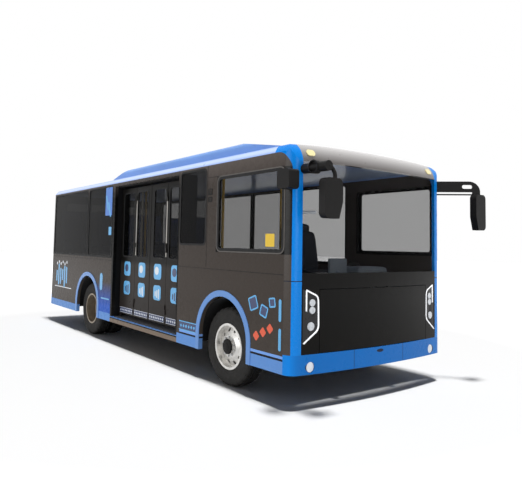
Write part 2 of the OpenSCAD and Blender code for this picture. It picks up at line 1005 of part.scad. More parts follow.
// knuckle of a fold hinge from z up, joined to the panel on side f
module fold_knuckle(z, f) {
    union() {
        translate([fold_w, fold_y, z])
            cylinder(h = 60 - joint_c, r = fold_r);
        span([fold_w + min(0, f * 16), fold_y - fold_r, z],
            [fold_w + max(0, f * 16), fold_y, z + 60 - joint_c]);
        span([fold_w + min(f * 4.5, f * 16), fold_y - 1, z],
            [fold_w + max(f * 4.5, f * 16), 1 - leaf_t / 2, z + 60 - joint_c]);
    }
}

// door panel that turns on the jamb's bearings
module post_panel() {
    difference() {
        union() {
            span([-18, -leaf_t / 2, leaf_z0], [fold_w - 3, leaf_t / 2, leaf_z1]);
            translate([0, 0, low_floor + 3])
                cylinder(h = leaf_z0 + 20 - low_floor - 3, r = pivot_r);
            translate([0, 0, leaf_z1 - 20])
                cylinder(h = door_top + 8 - leaf_z1 + 20, r = pivot_r);
            for (z = fold_rows)
                fold_knuckle(z, -1);
        }
        along_y(-leaf_t, leaf_t)
            post_pane2d(0);
    }
}

// door panel hung on the post panel, with its grab rail
module lead_panel() {
    rail_x = fold_w + 55;
    rail_in = leaf_t / 2 + 30;
    union() {
        difference() {
            span([fold_w + 3, -leaf_t / 2, leaf_z0], [2 * fold_w - move_c, leaf_t / 2, leaf_z1]);
            along_y(-leaf_t, leaf_t)
                lead_pane2d(0);
        }
        for (z = fold_rows)
            fold_knuckle(z + 60, 1);
        translate([rail_x, rail_in, leaf_glass_z - 45])
            cylinder(h = leaf_z1 - 15 - leaf_glass_z + 45, r = 15);
        for (z = [leaf_glass_z - 28, leaf_z1 - 32])
            bar_y(rail_x, leaf_t / 2 - 10, rail_in, z, 9);
    }
}

// rear post panel
module door_post_panel_rear() {
    color("DimGray")
        placed()
            at_post(0)
                post_panel();
}

// front post panel
module door_post_panel_front() {
    color("DimGray")
        placed()
            at_post(1)
                post_panel();
}

// rear leading panel
module door_lead_panel_rear() {
    color("DimGray")
        placed()
            at_post(0)
                lead_panel();
}

// front leading panel
module door_lead_panel_front() {
    color("DimGray")
        placed()
            at_post(1)
                lead_panel();
}

// glass of the rear post panel
module door_post_glass_rear() {
    color("Black")
        placed()
            at_post(0)
                along_y(4 - leaf_t / 2, 10 - leaf_t / 2)
                    post_pane2d(glass_c);
}

// glass of the front post panel
module door_post_glass_front() {
    color("Black")
        placed()
            at_post(1)
                along_y(4 - leaf_t / 2, 10 - leaf_t / 2)
                    post_pane2d(glass_c);
}

// glass of the rear leading panel
module door_lead_glass_rear() {
    color("Black")
        placed()
            at_post(0)
                along_y(4 - leaf_t / 2, 10 - leaf_t / 2)
                    lead_pane2d(glass_c);
}

// glass of the front leading panel
module door_lead_glass_front() {
    color("Black")
        placed()
            at_post(1)
                along_y(4 - leaf_t / 2, 10 - leaf_t / 2)
                    lead_pane2d(glass_c);
}

// lamp units in the front surround with their lenses and light brackets
module headlamps() {
    color("White")
        placed()
            for (s = [0, 1])
                mirror([0, s, 0]) {
                    intersection() {
                        ring(bumper_z, ws_bot, 4, wall - 2);
                        along_x(-200, 300)
                            lamp2d(0);
                    }
                    intersection() {
                        ring(bumper_z, ws_bot, -2, 4 - joint_c);
                        along_x(-200, 300)
                            bracket2d();
                    }
                    for (l = lens_rows)
                        intersection() {
                            ring(bumper_z, ws_bot, -2, 4 - joint_c);
                            translate([-200, -flap_hw - l[0] * flap_in, bumper_z + l[1] * front_h])
                                rotate([0, 90, 0])
                                    cylinder(h = 500, r = l[2]);
                        }
                }
}

// fog lamps in the bumper and marker lamps on the header
module small_lamps() {
    color("Khaki")
        placed()
            for (s = [-1, 1]) {
                translate([fog_x - 34, s * fog_y, fog_z])
                    rotate([0, 90, 0])
                        cylinder(h = 34, r = fog_r);
                translate([bow_cx, 0, 0])
                    rotate([0, 0, s * marker_turn])
                        translate([marker_x, 0, marker_cz])
                            rotate([0, -marker_tilt, 0])
                                translate([header_r + 0.4, 0, 0])
                                    along_x(0, 8)
                                        round_rect(-48, 48, -33, 33, 30);
            }
}

// tail lamps on the rear corners
module tail_lamps() {
    color("Red")
        placed()
            for (s = [-1, 1])
                translate([0, s * (hw - 225), 0])
                    along_x(-body_l - 12, -body_l)
                        round_rect(-60, 60, bumper_z + 150, belt_z - 90, 30);
}

// mirror head, drawn about its upper middle, with its lower corner on side f cut back
module mirror_head(w, h, f) {
    along_x(-40, 35)
        difference() {
            round_rect(-w / 2, w / 2, -h, 0, 50);
            polygon([[f * (w / 2 + 1), -h - 1], [f * (w / 2 - 45), -h - 1], [f * (w / 2 + 1), 150 - h]]);
        }
}

// outline of the left mirror arm along its length
module arm2d() {
    union() {
        difference() {
            union() {
                translate([0, arm_z - 120])
                    square([arm_l - 100, 120]);
                translate([arm_l - 100, arm_z - 120])
                    circle(120);
            }
            translate([0, arm_z - 400])
                square([arm_l + 100, 280]);
            round_rect(arm_l - 170, arm_l - 60, arm_z - 82, arm_z - 38, 20);
        }
        translate([arm_l - 60, mirror_lz - 6])
            square([80, arm_z - 119 - mirror_lz + 6]);
    }
}

// mirror on its tube over the right of the windscreen, and the kerb mirror
module mirror_right() {
    color("Black")
        placed()
            difference() {
                union() {
                    translate([-60, tube_y, tube_z])
                        rotate([0, 90, 0])
                            cylinder(h = mirror_hx + 75, r = 46);
                    translate([mirror_hx, tube_y, tube_z - 90])
                        rotate([90, 0, 90])
                            rotate_extrude(angle = 90)
                                translate([90, 0])
                                    circle(18);
                    translate([mirror_hx, tube_y + 90, mirror_rz - 20])
                        cylinder(h = tube_z - 90 - mirror_rz + 20.5, r = 18);
                    translate([mirror_hx, mirror_ry, mirror_rz])
                        mirror_head(220, 350, 1);
                    along_y(-kerb_y, -kerb_y + 120)
                        round_rect(-40, 120, ws_top - 282, ws_top - 109, 30);
                    span([-36, -kerb_y + 100, ws_top - 190], [4, -hw + 50, ws_top - 150]);
                }
                envelope(-0.5);
            }
}

// mirror on the left arm
module mirror_left() {
    color("Black")
        placed()
            difference() {
                union() {
                    translate([-20, hw - 50, 0])
                        rotate([0, 0, atan2(arm_dy, arm_dx)]) {
                            along_y(-14, 14)
                                arm2d();
                            translate([0, 0, arm_z - 148])
                                rotate([0, 90, 0])
                                    cylinder(h = arm_l - 40, r = 8);
                        }
                    translate([mirror_hx, mirror_ly, mirror_lz])
                        mirror_head(190, 395, -1);
                }
                envelope(-0.5);
            }
}

// mirror glass on the rear of the heads
module mirror_glass() {
    color("Silver")
        placed() {
            translate([mirror_hx, mirror_ry, mirror_rz])
                along_x(-43, -40)
                    round_rect(-95, 60, -330, -25, 40);
            translate([mirror_hx, mirror_ly, mirror_lz])
                along_x(-43, -40)
                    round_rect(-40, 80, -375, -25, 40);
        }
}

// dashboard with the steering column
module dashboard() {
    color("DarkSlateGray")
        placed()
            union() {
                difference() {
                    along_y(-in_y, in_y)
                        polygon([
                            [-140, deck_f], [-140, dash_z - 30], [-260, dash_z], [-560, dash_z - 110],
                            [-560, dash_z - 250], [-380, deck_f]
                        ]);
                    difference() {
                        span([-800, -hw, 0], [300, hw, 3000]);
                        envelope(wall);
                    }
                }
                translate([column_x, driver_y, column_z])
                    rotate([0, -60, 0])
                        cylinder(h = column_l, r = 32);
            }
}

// steering wheel on its column
module steering_wheel() {
    color("Black")
        placed()
            translate([column_x, driver_y, column_z])
                rotate([0, -60, 0])
                    translate([0, 0, column_l + 1])
                        union() {
                            cylinder(h = 40, r = 45);
                            translate([0, 0, 20])
                                rotate_extrude()
                                    translate([210, 0])
                                        circle(15);
                            for (a = [0, 120, 240])
                                rotate([0, 0, a])
                                    span([30, -18, 12], [205, 18, 28]);
                        }
}

// seat drawn with its front edge at x = 0
module seat() {
    along_y(-seat_w / 2, seat_w / 2)
        polygon([
            [0, 330], [0, 430], [-400, 420], [-500, seat_h], [-570, seat_h], [-470, 330]
        ]);
    span([-400, -115, 0], [-80, 115, 331]);
}

// driver seat
module driver_seat() {
    color("DarkSlateGray")
        placed()
            translate([axle_f + 40, driver_y, deck_f])
                seat();
}

// passenger seats
module passenger_seats() {
    color("SteelBlue")
        placed()
            for (s = seat_rows)
                translate([s[0], s[1], s[2]])
                    seat();
}

// stanchions
module handrails() {
    color("Gold")
        placed()
            for (s = stanchion_rows)
                translate([s[0], s[1], s[2]])
                    cylinder(h = ceiling(abs(s[1]) + 17) - s[2], r = 17);
}

// steering knuckle, drawn for the right side
module knuckle() {
    translate([axle_f, -king_y, wheel_r])
        difference() {
            union() {
                for (z = [-75, 50])
                    translate([0, 0, z]) {
                        cylinder(h = 25, r = 40);
                        span([-40, -75, 0], [40, 0, 25]);
                    }
                span([-40, -75, -75], [40, -52, 75]);
                bar_y(0, -kingpin_in - 60, -60, 0, 35);
                span([-steer_arm, -20, -75], [0, 20, -55]);
                translate([-steer_arm, 0, -75])
                    cylinder(h = 20, r = 26);
            }
            cylinder(h = 300, r = 18 + run_c, center = true);
            translate([-steer_arm, 0, 0])
                cylinder(h = 300, r = 12 + run_c, center = true);
        }
}

// right steering knuckle
module knuckle_right() {
    color("Gray")
        placed()
            knuckle();
}

// left steering knuckle
module knuckle_left() {
    color("Gray")
        placed()
            left_of()
                knuckle();
}

// track rod between the steering arms
module tie_rod() {
    color("Silver")
        placed()
            translate([axle_f - steer_arm, 0, wheel_r - 75])
                union() {
                    bar_y(0, -king_y, king_y, -24, 16);
                    for (s = [-1, 1])
                        translate([0, s * king_y, 0]) {
                            translate([0, 0, -42])
                                cylinder(h = 36, r = 24);
                            translate([0, 0, -20])
                                cylinder(h = 40, r = 12);
                        }
                }
}

// tyre of revolution about Y, middle at y = 0
module tyre() {
    side_r = (bead_r + wheel_r) / 2;
    edge = tyre_w / 2;
    rotate([90, 0, 0])
        rotate_extrude()
            polygon([
                [bead_r + 0.3, -bead_y + 0.5], [bead_r + 10.5, -bead_y - 1.5], [bead_r + 30, -edge + 4],
                [side_r, -edge], [wheel_r - 34, -edge + 4], [wheel_r - 6, -edge + 22], [wheel_r, -edge + 40],
                [wheel_r, edge - 40], [wheel_r - 6, edge - 22], [wheel_r - 34, edge - 4], [side_r, edge],
                [bead_r + 30, edge - 4], [bead_r + 10.5, bead_y + 1.5], [bead_r + 0.3, bead_y - 0.5]
            ]);
}

// wheel rim barrel about Y, outer face to -Y
module rim() {
    rotate([90, 0, 0])
        rotate_extrude()
            polygon([
                [bead_r - 14, -bead_y - 10], [bead_r + 10, -bead_y - 10], [bead_r + 10, -bead_y - 2],
                [bead_r, -bead_y], [bead_r, bead_y], [bead_r + 10, bead_y + 2], [bead_r + 10, bead_y + 10],
                [bead_r - 14, bead_y + 10]
            ]);
}

// front wheel disc and hub, outer face to -Y
module front_wheel() {
    difference() {
        union() {
            rim();
            rotate([90, 0, 0])
                rotate_extrude()
                    polygon([
                        [0, 10], [85, 10], [85, 64], [110, 64], [150, 40], [195, 20], [bead_r - 10, 20],
                        [bead_r - 10, 30], [195, 31], [153, 52], [112, 76], [75, 76], [75, 100],
                        [60, 108], [0, 108]
                    ]);
        }
        bar_y(0, -60 - run_c, 200, 0, 35 + run_c);
        for (a = [0 : hand_holes - 1])
            rotate([0, a * 360 / hand_holes, 0])
                translate([168, 0, 0])
                    rotate([90, 0, 0])
                        cylinder(h = 300, r = 20, center = true);
    }
}

// twin rear discs and hub, outer face to -Y, middle between the tyres
module rear_wheels() {
    difference() {
        union() {
            for (s = [-1, 1])
                translate([0, s * twin_pitch / 2, 0])
                    rim();
            for (s = [0, 1])
                mirror([0, s, 0])
                    rotate([90, 0, 0])
                        rotate_extrude()
                            polygon([
                                [60, 0], [125, 0], [165, 34], [bead_r - 10, 60], [bead_r - 10, 72],
                                [160, 46], [122, 12], [60, 12]
                            ]);
            rotate([90, 0, 0])
                cylinder(h = 96, r = 84);
            rotate([90, 0, 0])
                cylinder(h = 40, r = 84, center = true);
        }
        bar_y(0, -70 - run_c, 200, 0, 45 + run_c);
        for (a = [0 : hand_holes - 1])
            rotate([0, a * 360 / hand_holes, 0])
                translate([172, 0, 0])
                    rotate([90, 0, 0])
                        cylinder(h = 300, r = 19, center = true);
    }
}

// places a right hand wheel station
module at_front_right() {
    translate([axle_f, -wheel_y, wheel_r])
        children();
}

// places a right hand twin station
module at_rear_right() {
    translate([axle_r, -twin_y, wheel_r])
        children();
}

// right front tyre
module front_tyre_right() {
    color("Black")
        placed()
            at_front_right()
                tyre();
}

// left front tyre
module front_tyre_left() {
    color("Black")
        placed()
            left_of()
                at_front_right()
                    tyre();
}

// right front wheel
module front_wheel_right() {
    color("Silver")
        placed()
            at_front_right()
                front_wheel();
}

// left front wheel
module front_wheel_left() {
    color("Silver")
        placed()
            left_of()
                at_front_right()
                    front_wheel();
}

// right rear twin tyres
module rear_tyres_right() {
    color("Black")
        placed()
            at_rear_right()
                for (s = [-1, 1])
                    translate([0, s * twin_pitch / 2, 0])
                        tyre();
}

// left rear twin tyres
module rear_tyres_left() {
    color("Black")
        placed()
            left_of()
                at_rear_right()
                    for (s = [-1, 1])
                        translate([0, s * twin_pitch / 2, 0])
                            tyre();
}

// right rear twin wheels
module rear_wheels_right() {
    color("Silver")
        placed()
            at_rear_right()
                rear_wheels();
}

// left rear twin wheels
module rear_wheels_left() {
    color("Silver")
        placed()
            left_of()
                at_rear_right()
                    rear_wheels();
}

chassis_frame();
floor();
wheel_housings();
battery_pack();
front_axle();
rear_axle();
air_springs();
roof();
roof_pod();
front_header();
corner_posts();
front_cowl();
front_flap();
front_bumper();
rear_upper();
rear_lower();
rear_hatch();
rear_bumper();
windscreen();
rear_window();
side_glass();
side_upper_right();
side_upper_left();
side_lower_right();
side_lower_left();
arch_trims();
door_frame();
door_post_panel_rear();
door_post_panel_front();
door_lead_panel_rear();
door_lead_panel_front();
door_post_glass_rear();
door_post_glass_front();
door_lead_glass_rear();
door_lead_glass_front();
headlamps();
small_lamps();
tail_lamps();
mirror_right();
mirror_left();
mirror_glass();
dashboard();
steering_wheel();
driver_seat();
passenger_seats();
handrails();
knuckle_right();
knuckle_left();
tie_rod();
front_tyre_right();
front_tyre_left();
front_wheel_right();
front_wheel_left();
rear_tyres_right();
rear_tyres_left();
rear_wheels_right();
rear_wheels_left();
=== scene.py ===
import math
import bpy
import bmesh
from mathutils import Matrix, Vector


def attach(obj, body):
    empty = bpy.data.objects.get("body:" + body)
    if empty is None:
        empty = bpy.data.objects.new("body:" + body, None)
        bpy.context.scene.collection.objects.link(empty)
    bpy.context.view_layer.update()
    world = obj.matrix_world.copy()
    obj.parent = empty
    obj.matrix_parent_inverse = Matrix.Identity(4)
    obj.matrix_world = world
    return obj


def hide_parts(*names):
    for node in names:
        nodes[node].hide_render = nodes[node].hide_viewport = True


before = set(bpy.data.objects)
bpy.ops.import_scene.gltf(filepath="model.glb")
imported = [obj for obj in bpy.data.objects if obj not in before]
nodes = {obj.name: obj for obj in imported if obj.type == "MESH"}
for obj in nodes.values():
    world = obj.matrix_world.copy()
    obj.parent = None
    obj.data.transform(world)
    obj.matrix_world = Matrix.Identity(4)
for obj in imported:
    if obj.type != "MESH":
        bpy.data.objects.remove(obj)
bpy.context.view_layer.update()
print("stage: frame loaded,", len(nodes), "nodes")

bus = {"shiftX": 3.16, "shiftY": -0.1025, "half": 1.125, "axleF": -1.05, "axleR": -4.79,
       "wheelZ": 0.4, "doorF": -1.993, "doorR": -3.833, "belt": 1.19, "rail": 2.312}


def spot(x, y, z):  # bus measures to the shared frame
    return Vector((x + bus["shiftX"], y + bus["shiftY"], z))


def linear(red, green, blue):  # screen colour to shader colour
    def channel(c):
        return c / 255 / 12.92 if c <= 10 else ((c / 255 + 0.055) / 1.055) ** 2.4
    return channel(red), channel(green), channel(blue), 1.0


def startFinish(name):
    finish = bpy.data.materials.new(name)
    finish.use_nodes = True
    tree = finish.node_tree
    return finish, tree, tree.nodes["Principled BSDF"]


def setInputs(node, values):
    for key, value in values.items():
        node.inputs[key].default_value = value


def objectCoords(tree):
    return tree.nodes.new("ShaderNodeTexCoord").outputs["Object"]


def noise(tree, scale, detail):
    node = tree.nodes.new("ShaderNodeTexNoise")
    setInputs(node, {"Scale": scale, "Detail": detail})
    tree.links.new(objectCoords(tree), node.inputs["Vector"])
    return node.outputs["Fac"]


def calc(tree, kind, a, b):
    node = tree.nodes.new("ShaderNodeMath")
    node.operation = kind
    for slot, value in zip(node.inputs, (a, b)):
        if isinstance(value, (int, float)):
            slot.default_value = value
        else:
            tree.links.new(value, slot)
    return node.outputs[0]


def times(tree, first, *others):
    for value in others:
        first = calc(tree, "MULTIPLY", first, value)
    return first


def above(tree, value, limit):
    return calc(tree, "GREATER_THAN", value, limit)


def below(tree, value, limit):
    return calc(tree, "LESS_THAN", value, limit)


def between(tree, value, low, high):
    return times(tree, above(tree, value, low), below(tree, value, high))


def busAxis(tree, axis):  # place along one axis, in bus measures
    node = tree.nodes.new("ShaderNodeSeparateXYZ")
    tree.links.new(objectCoords(tree), node.inputs[0])
    return calc(tree, "SUBTRACT", node.outputs[axis], (bus["shiftX"], bus["shiftY"], 0.0)[axis])


def spread(tree, value, low, high, toLow, toHigh):
    node = tree.nodes.new("ShaderNodeMapRange")
    tree.links.new(value, node.inputs["Value"])
    setInputs(node, {"From Min": low, "From Max": high, "To Min": toLow, "To Max": toHigh})
    return node.outputs["Result"]


def blendColor(tree, factor, a, b):
    node = tree.nodes.new("ShaderNodeMix")
    node.data_type = "RGBA"
    tree.links.new(factor, node.inputs[0])
    for slot, value in ((node.inputs[6], a), (node.inputs[7], b)):
        if isinstance(value, tuple):
            slot.default_value = value
        else:
            tree.links.new(value, slot)
    return node.outputs[2]


def layered(tree, color, layers):  # each mask's colour goes over those before it
    for mask, layer in layers:
        color = blendColor(tree, mask, color, layer)
    return color


def addBump(tree, shader, height, strength, distance):
    node = tree.nodes.new("ShaderNodeBump")
    setInputs(node, {"Strength": strength, "Distance": distance})
    tree.links.new(height, node.inputs["Height"])
    tree.links.new(node.outputs["Normal"], shader.inputs["Normal"])


def tone(color, factor):
    return tuple(min(1.0, c * factor) for c in color[:3]) + (1.0,)


def mottle(tree, color, factor, scale, detail, high):
    patches = spread(tree, noise(tree, scale, detail), 0.3, high, 0.0, 1.0)
    return blendColor(tree, patches, color, tone(color, factor))


def roughen(tree, shader, scale, detail, low, high):
    tree.links.new(spread(tree, noise(tree, scale, detail), 0.2, 0.8, low, high), shader.inputs["Roughness"])


grime = {"foot": 0.25, "top": 0.8, "scale": 9.0, "color": linear(150, 140, 128)}


def shadePaint(tree, shader, color, rough, dust):
    shade = mottle(tree, color, 0.86, 1.3, 3.0, 0.7) if isinstance(color, tuple) else color
    if dust:
        height = spread(tree, busAxis(tree, 2), grime["foot"], grime["top"], dust, 0.0)
        patches = spread(tree, noise(tree, grime["scale"], 6.0), 0.35, 0.75, 0.2, 1.0)
        shade = blendColor(tree, times(tree, height, patches), shade, grime["color"])
    tree.links.new(shade, shader.inputs["Base Color"])
    roughen(tree, shader, 14.0, 5.0, rough - 0.05, rough + 0.08)
    addBump(tree, shader, noise(tree, 40.0, 2.0), 0.006, 0.001)


def paint(name, color, rough, coat, dust, shine=0.5):
    finish, tree, shader = startFinish(name)
    shadePaint(tree, shader, color, rough, dust)
    setInputs(shader, {"Specular IOR Level": shine, "Coat Weight": coat, "Coat Roughness": 0.06})
    return finish


def rubber(name, color, rough=0.75, scale=120.0):
    finish, tree, shader = startFinish(name)
    setInputs(shader, {"Specular IOR Level": 0.25})
    tree.links.new(mottle(tree, color, 1.5, 7.0, 5.0, 0.75), shader.inputs["Base Color"])
    roughen(tree, shader, 30.0, 3.0, rough - 0.1, rough + 0.1)
    addBump(tree, shader, noise(tree, scale, 4.0), 0.12, 0.002)
    return finish


def metal(name, color, rough, metallic=1.0):
    finish, tree, shader = startFinish(name)
    setInputs(shader, {"Metallic": metallic})
    tree.links.new(mottle(tree, color, 0.72, 16.0, 6.0, 0.75), shader.inputs["Base Color"])
    roughen(tree, shader, 60.0, 4.0, rough - 0.08, rough + 0.12)
    addBump(tree, shader, noise(tree, 140.0, 3.0), 0.05, 0.001)
    return finish


def plastic(name, color, rough, shine=0.25):
    finish, tree, shader = startFinish(name)
    setInputs(shader, {"Specular IOR Level": shine})
    tree.links.new(mottle(tree, color, 1.25, 5.0, 3.0, 0.7), shader.inputs["Base Color"])
    roughen(tree, shader, 25.0, 3.0, rough - 0.08, rough + 0.08)
    addBump(tree, shader, noise(tree, 300.0, 2.0), 0.08, 0.001)
    return finish


def glass(name, color, alpha):  # a little paler towards the top
    finish, tree, shader = startFinish(name)
    shade = blendColor(tree, spread(tree, busAxis(tree, 2), 1.2, 2.3, 0.0, 1.0), color, tone(color, 1.8))
    tree.links.new(shade, shader.inputs["Base Color"])
    tree.links.new(spread(tree, noise(tree, 6.0, 4.0), 0.3, 0.8, 0.03, 0.08), shader.inputs["Roughness"])
    setInputs(shader, {"Alpha": alpha, "Specular IOR Level": 0.04})
    return finish


def lens(name, color, glow=0.0):  # ribbed lamp cover
    finish, tree, shader = startFinish(name)
    wave = tree.nodes.new("ShaderNodeTexWave")
    setInputs(wave, {"Scale": 60.0})
    tree.links.new(objectCoords(tree), wave.inputs["Vector"])
    ribs = wave.outputs["Fac"]
    shade = blendColor(tree, spread(tree, ribs, 0.0, 1.0, 0.0, 0.35), color, tone(color, 0.6))
    tree.links.new(shade, shader.inputs["Base Color"])
    roughen(tree, shader, 20.0, 3.0, 0.12, 0.22)
    addBump(tree, shader, ribs, 0.1, 0.001)
    setInputs(shader, {"Coat Weight": 0.6})
    if glow:
        setInputs(shader, {"Emission Color": color, "Emission Strength": glow})
    return finish


# bumper is the blue darkened: painted shade for the front face of the front bumper
colors = {"grey": linear(68, 62, 58), "blue": linear(0, 129, 222), "bumper": linear(0, 106, 188),
          "pod": linear(116, 160, 226), "trim": linear(98, 146, 212), "tan": linear(122, 108, 96),
          "pane": linear(12, 12, 12)}
corner = {"edge": -0.03, "radius": 0.17}  # the side's round upper front corner, edged by the blue post
cabOpening = {"rear": -1.192, "low": 1.372, "high": 2.172}


def cornerReach(tree, x, z):  # squared distance from the corner's centre
    dx = calc(tree, "MAXIMUM", calc(tree, "SUBTRACT", x, corner["edge"] - corner["radius"]), 0.0)
    dz = calc(tree, "MAXIMUM", calc(tree, "SUBTRACT", z, bus["rail"] - corner["radius"]), 0.0)
    return calc(tree, "ADD", times(tree, dx, dx), times(tree, dz, dz))


def sidePaint(name):
    finish, tree, shader = startFinish(name)
    skirt = {"top": 0.424, "gapTop": 0.444, "lineTop": 0.47, "lineRear": -1.9,
             "gapColor": linear(22, 24, 32), "lineColor": linear(120, 165, 235)}
    panel = {"x": (-4.38, bus["doorR"] - 0.04), "low": 0.42, "fade": (0.5, 0.86), "color": linear(40, 92, 190)}
    doorway = {"x": (bus["doorR"] - 0.05, bus["doorF"] + 0.03),
               "bands": [(0.3, 0.362, "tan"), (0.362, 0.378, "pane"), (0.378, 0.39, "trim"), (0.39, 2.4, "pane")]}
    glazed = {"kerbFront": bus["doorR"] - 0.02, "farFront": -1.38, "z": (1.222, 2.3)}
    # crown: painted highlight, the side paint turning lighter towards its top edge as if lit from above
    crown = {"z": (2.1, 2.3), "share": 0.45, "color": linear(112, 104, 100)}
    x, y, z = (busAxis(tree, axis) for axis in range(3))
    kerbSide = below(tree, y, 0.0)
    front = above(tree, x, skirt["lineRear"])
    fade = times(tree, kerbSide, between(tree, x, *panel["x"]), above(tree, z, panel["low"]),
                 spread(tree, z, *panel["fade"], 1.0, 0.0))
    inDoorway = times(tree, kerbSide, between(tree, x, *doorway["x"]))
    farGlass = times(tree, calc(tree, "SUBTRACT", 1.0, kerbSide), below(tree, x, glazed["farFront"]))
    glassRun = calc(tree, "MAXIMUM", below(tree, x, glazed["kerbFront"]), farGlass)
    inCab = between(tree, z, cabOpening["low"], cabOpening["high"])
    layers = [(below(tree, z, skirt["top"]), colors["trim"]),
              (times(tree, between(tree, z, skirt["top"], skirt["gapTop"]), front), skirt["gapColor"]),
              (times(tree, between(tree, z, skirt["gapTop"], skirt["lineTop"]), front), skirt["lineColor"]),
              (fade, panel["color"])]
    for bandLow, bandHigh, key in doorway["bands"]:
        layers.append((times(tree, inDoorway, between(tree, z, bandLow, bandHigh)), colors[key]))
    layers += [(times(tree, glassRun, between(tree, z, *glazed["z"])), colors["pane"]),
               (times(tree, above(tree, x, cabOpening["rear"]), inCab), colors["pane"]),
               # painted highlight along the top of the side
               (spread(tree, z, *crown["z"], 0.0, crown["share"]), crown["color"]),
               (above(tree, cornerReach(tree, x, z), corner["radius"] ** 2), colors["blue"])]
    shadePaint(tree, shader, layered(tree, colors["grey"], layers), 0.26, 0.1)
    setInputs(shader, {"Specular IOR Level": 0.04})
    return finish


def postPaint(name):
    finish, tree, shader = startFinish(name)
    seam = {"z": (1.133, 1.141), "color": linear(14, 22, 40)}
    x, z = busAxis(tree, 0), busAxis(tree, 2)
    inside = below(tree, cornerReach(tree, x, z), corner["radius"] ** 2)
    dark = times(tree, below(tree, x, corner["edge"]), inside, below(tree, z, bus["rail"]))
    inCab = between(tree, z, cabOpening["low"], cabOpening["high"])
    lining = blendColor(tree, inCab, colors["grey"], colors["pane"])
    layers = [(dark, lining), (between(tree, z, *seam["z"]), seam["color"])]
    shadePaint(tree, shader, layered(tree, colors["blue"], layers), 0.26, 0.03)
    setInputs(shader, {"Specular IOR Level": 0.15})
    return finish


def bumperPaint(name):
    finish, tree, shader = startFinish(name)
    # round: across the bumper's corner the blue turns to the darker bumper colour, painted shade on the front face
    shape = {"seam": 0.365, "seamHalf": 0.003, "latchZ": 0.449, "latchW": 0.05, "latchH": 0.016,
             "round": (-0.04, 0.02), "middle": -3.16, "lineColor": linear(14, 24, 52)}
    x, y, z = (busAxis(tree, axis) for axis in range(3))
    offSeam = calc(tree, "SUBTRACT", calc(tree, "ABSOLUTE", y, 0.0), shape["seam"])
    gap = below(tree, calc(tree, "ABSOLUTE", offSeam, 0.0), shape["seamHalf"])
    ry = calc(tree, "DIVIDE", y, shape["latchW"])
    rz = calc(tree, "DIVIDE", calc(tree, "SUBTRACT", z, shape["latchZ"]), shape["latchH"])
    latch = below(tree, calc(tree, "ADD", times(tree, ry, ry), times(tree, rz, rz)), 1.0)
    lines = times(tree, above(tree, x, shape["middle"]), calc(tree, "MAXIMUM", gap, latch))
    layers = [(spread(tree, x, *shape["round"], 0.0, 1.0), colors["bumper"]), (lines, shape["lineColor"])]
    shadePaint(tree, shader, layered(tree, colors["blue"], layers), 0.28, 0.02)
    setInputs(shader, {"Specular IOR Level": 0.15})
    return finish


def roofPaint(name):
    finish, tree, shader = startFinish(name)
    # the cove colour is a painted highlight: a pale band along the roof's lower edge that stands in for sky light on
    # the cove; the roof above keeps its blue
    cove = {"rise": (2.31, 2.34), "fall": (2.36, 2.4), "color": linear(186, 206, 238), "above": linear(70, 130, 228)}
    z = busAxis(tree, 2)
    paintedCoveHighlight = times(tree, spread(tree, z, *cove["rise"], 0.4, 1.0), spread(tree, z, *cove["fall"], 1.0, 0.0))
    shadePaint(tree, shader, blendColor(tree, paintedCoveHighlight, cove["above"], cove["color"]), 0.3, 0.0)
    setInputs(shader, {"Coat Weight": 0.3})
    return finish


def doorPaint(name):
    finish, tree, shader = startFinish(name)
    leaf = {"inner": -0.968, "turn": (1.14, 1.2), "lower": linear(44, 40, 38), "upper": linear(17, 16, 15),
            "inside": linear(214, 208, 198)}
    upper = spread(tree, busAxis(tree, 2), *leaf["turn"], 0.0, 1.0)
    railSide = above(tree, busAxis(tree, 1), leaf["inner"])
    layers = [(upper, leaf["upper"]), (railSide, leaf["inside"])]
    shadePaint(tree, shader, layered(tree, leaf["lower"], layers), 0.3, 0.03)
    setInputs(shader, {"Specular IOR Level": 0.06})
    return finish


def headerPaint(name):
    finish, tree, shader = startFinish(name)
    # the upper colour is a painted highlight: the cap turns paler towards its top as if lit from above
    cap = {"z": (2.24, 2.42), "lower": linear(86, 81, 79), "upper": linear(196, 193, 192)}
    upper = spread(tree, busAxis(tree, 2), *cap["z"], 0.0, 1.0)
    shadePaint(tree, shader, blendColor(tree, upper, cap["lower"], cap["upper"]), 0.3, 0.0)
    setInputs(shader, {"Coat Weight": 0.5})
    return finish


def smallLampLens(name):
    finish, tree, shader = startFinish(name)
    lamp = {"split": 1.5, "fog": linear(236, 240, 245), "marker": linear(246, 232, 170)}
    high = above(tree, busAxis(tree, 2), lamp["split"])
    tree.links.new(blendColor(tree, high, lamp["fog"], lamp["marker"]), shader.inputs["Base Color"])
    roughen(tree, shader, 40.0, 3.0, 0.1, 0.25)
    setInputs(shader, {"Coat Weight": 0.6})
    addBump(tree, shader, noise(tree, 90.0, 3.0), 0.15, 0.002)
    return finish


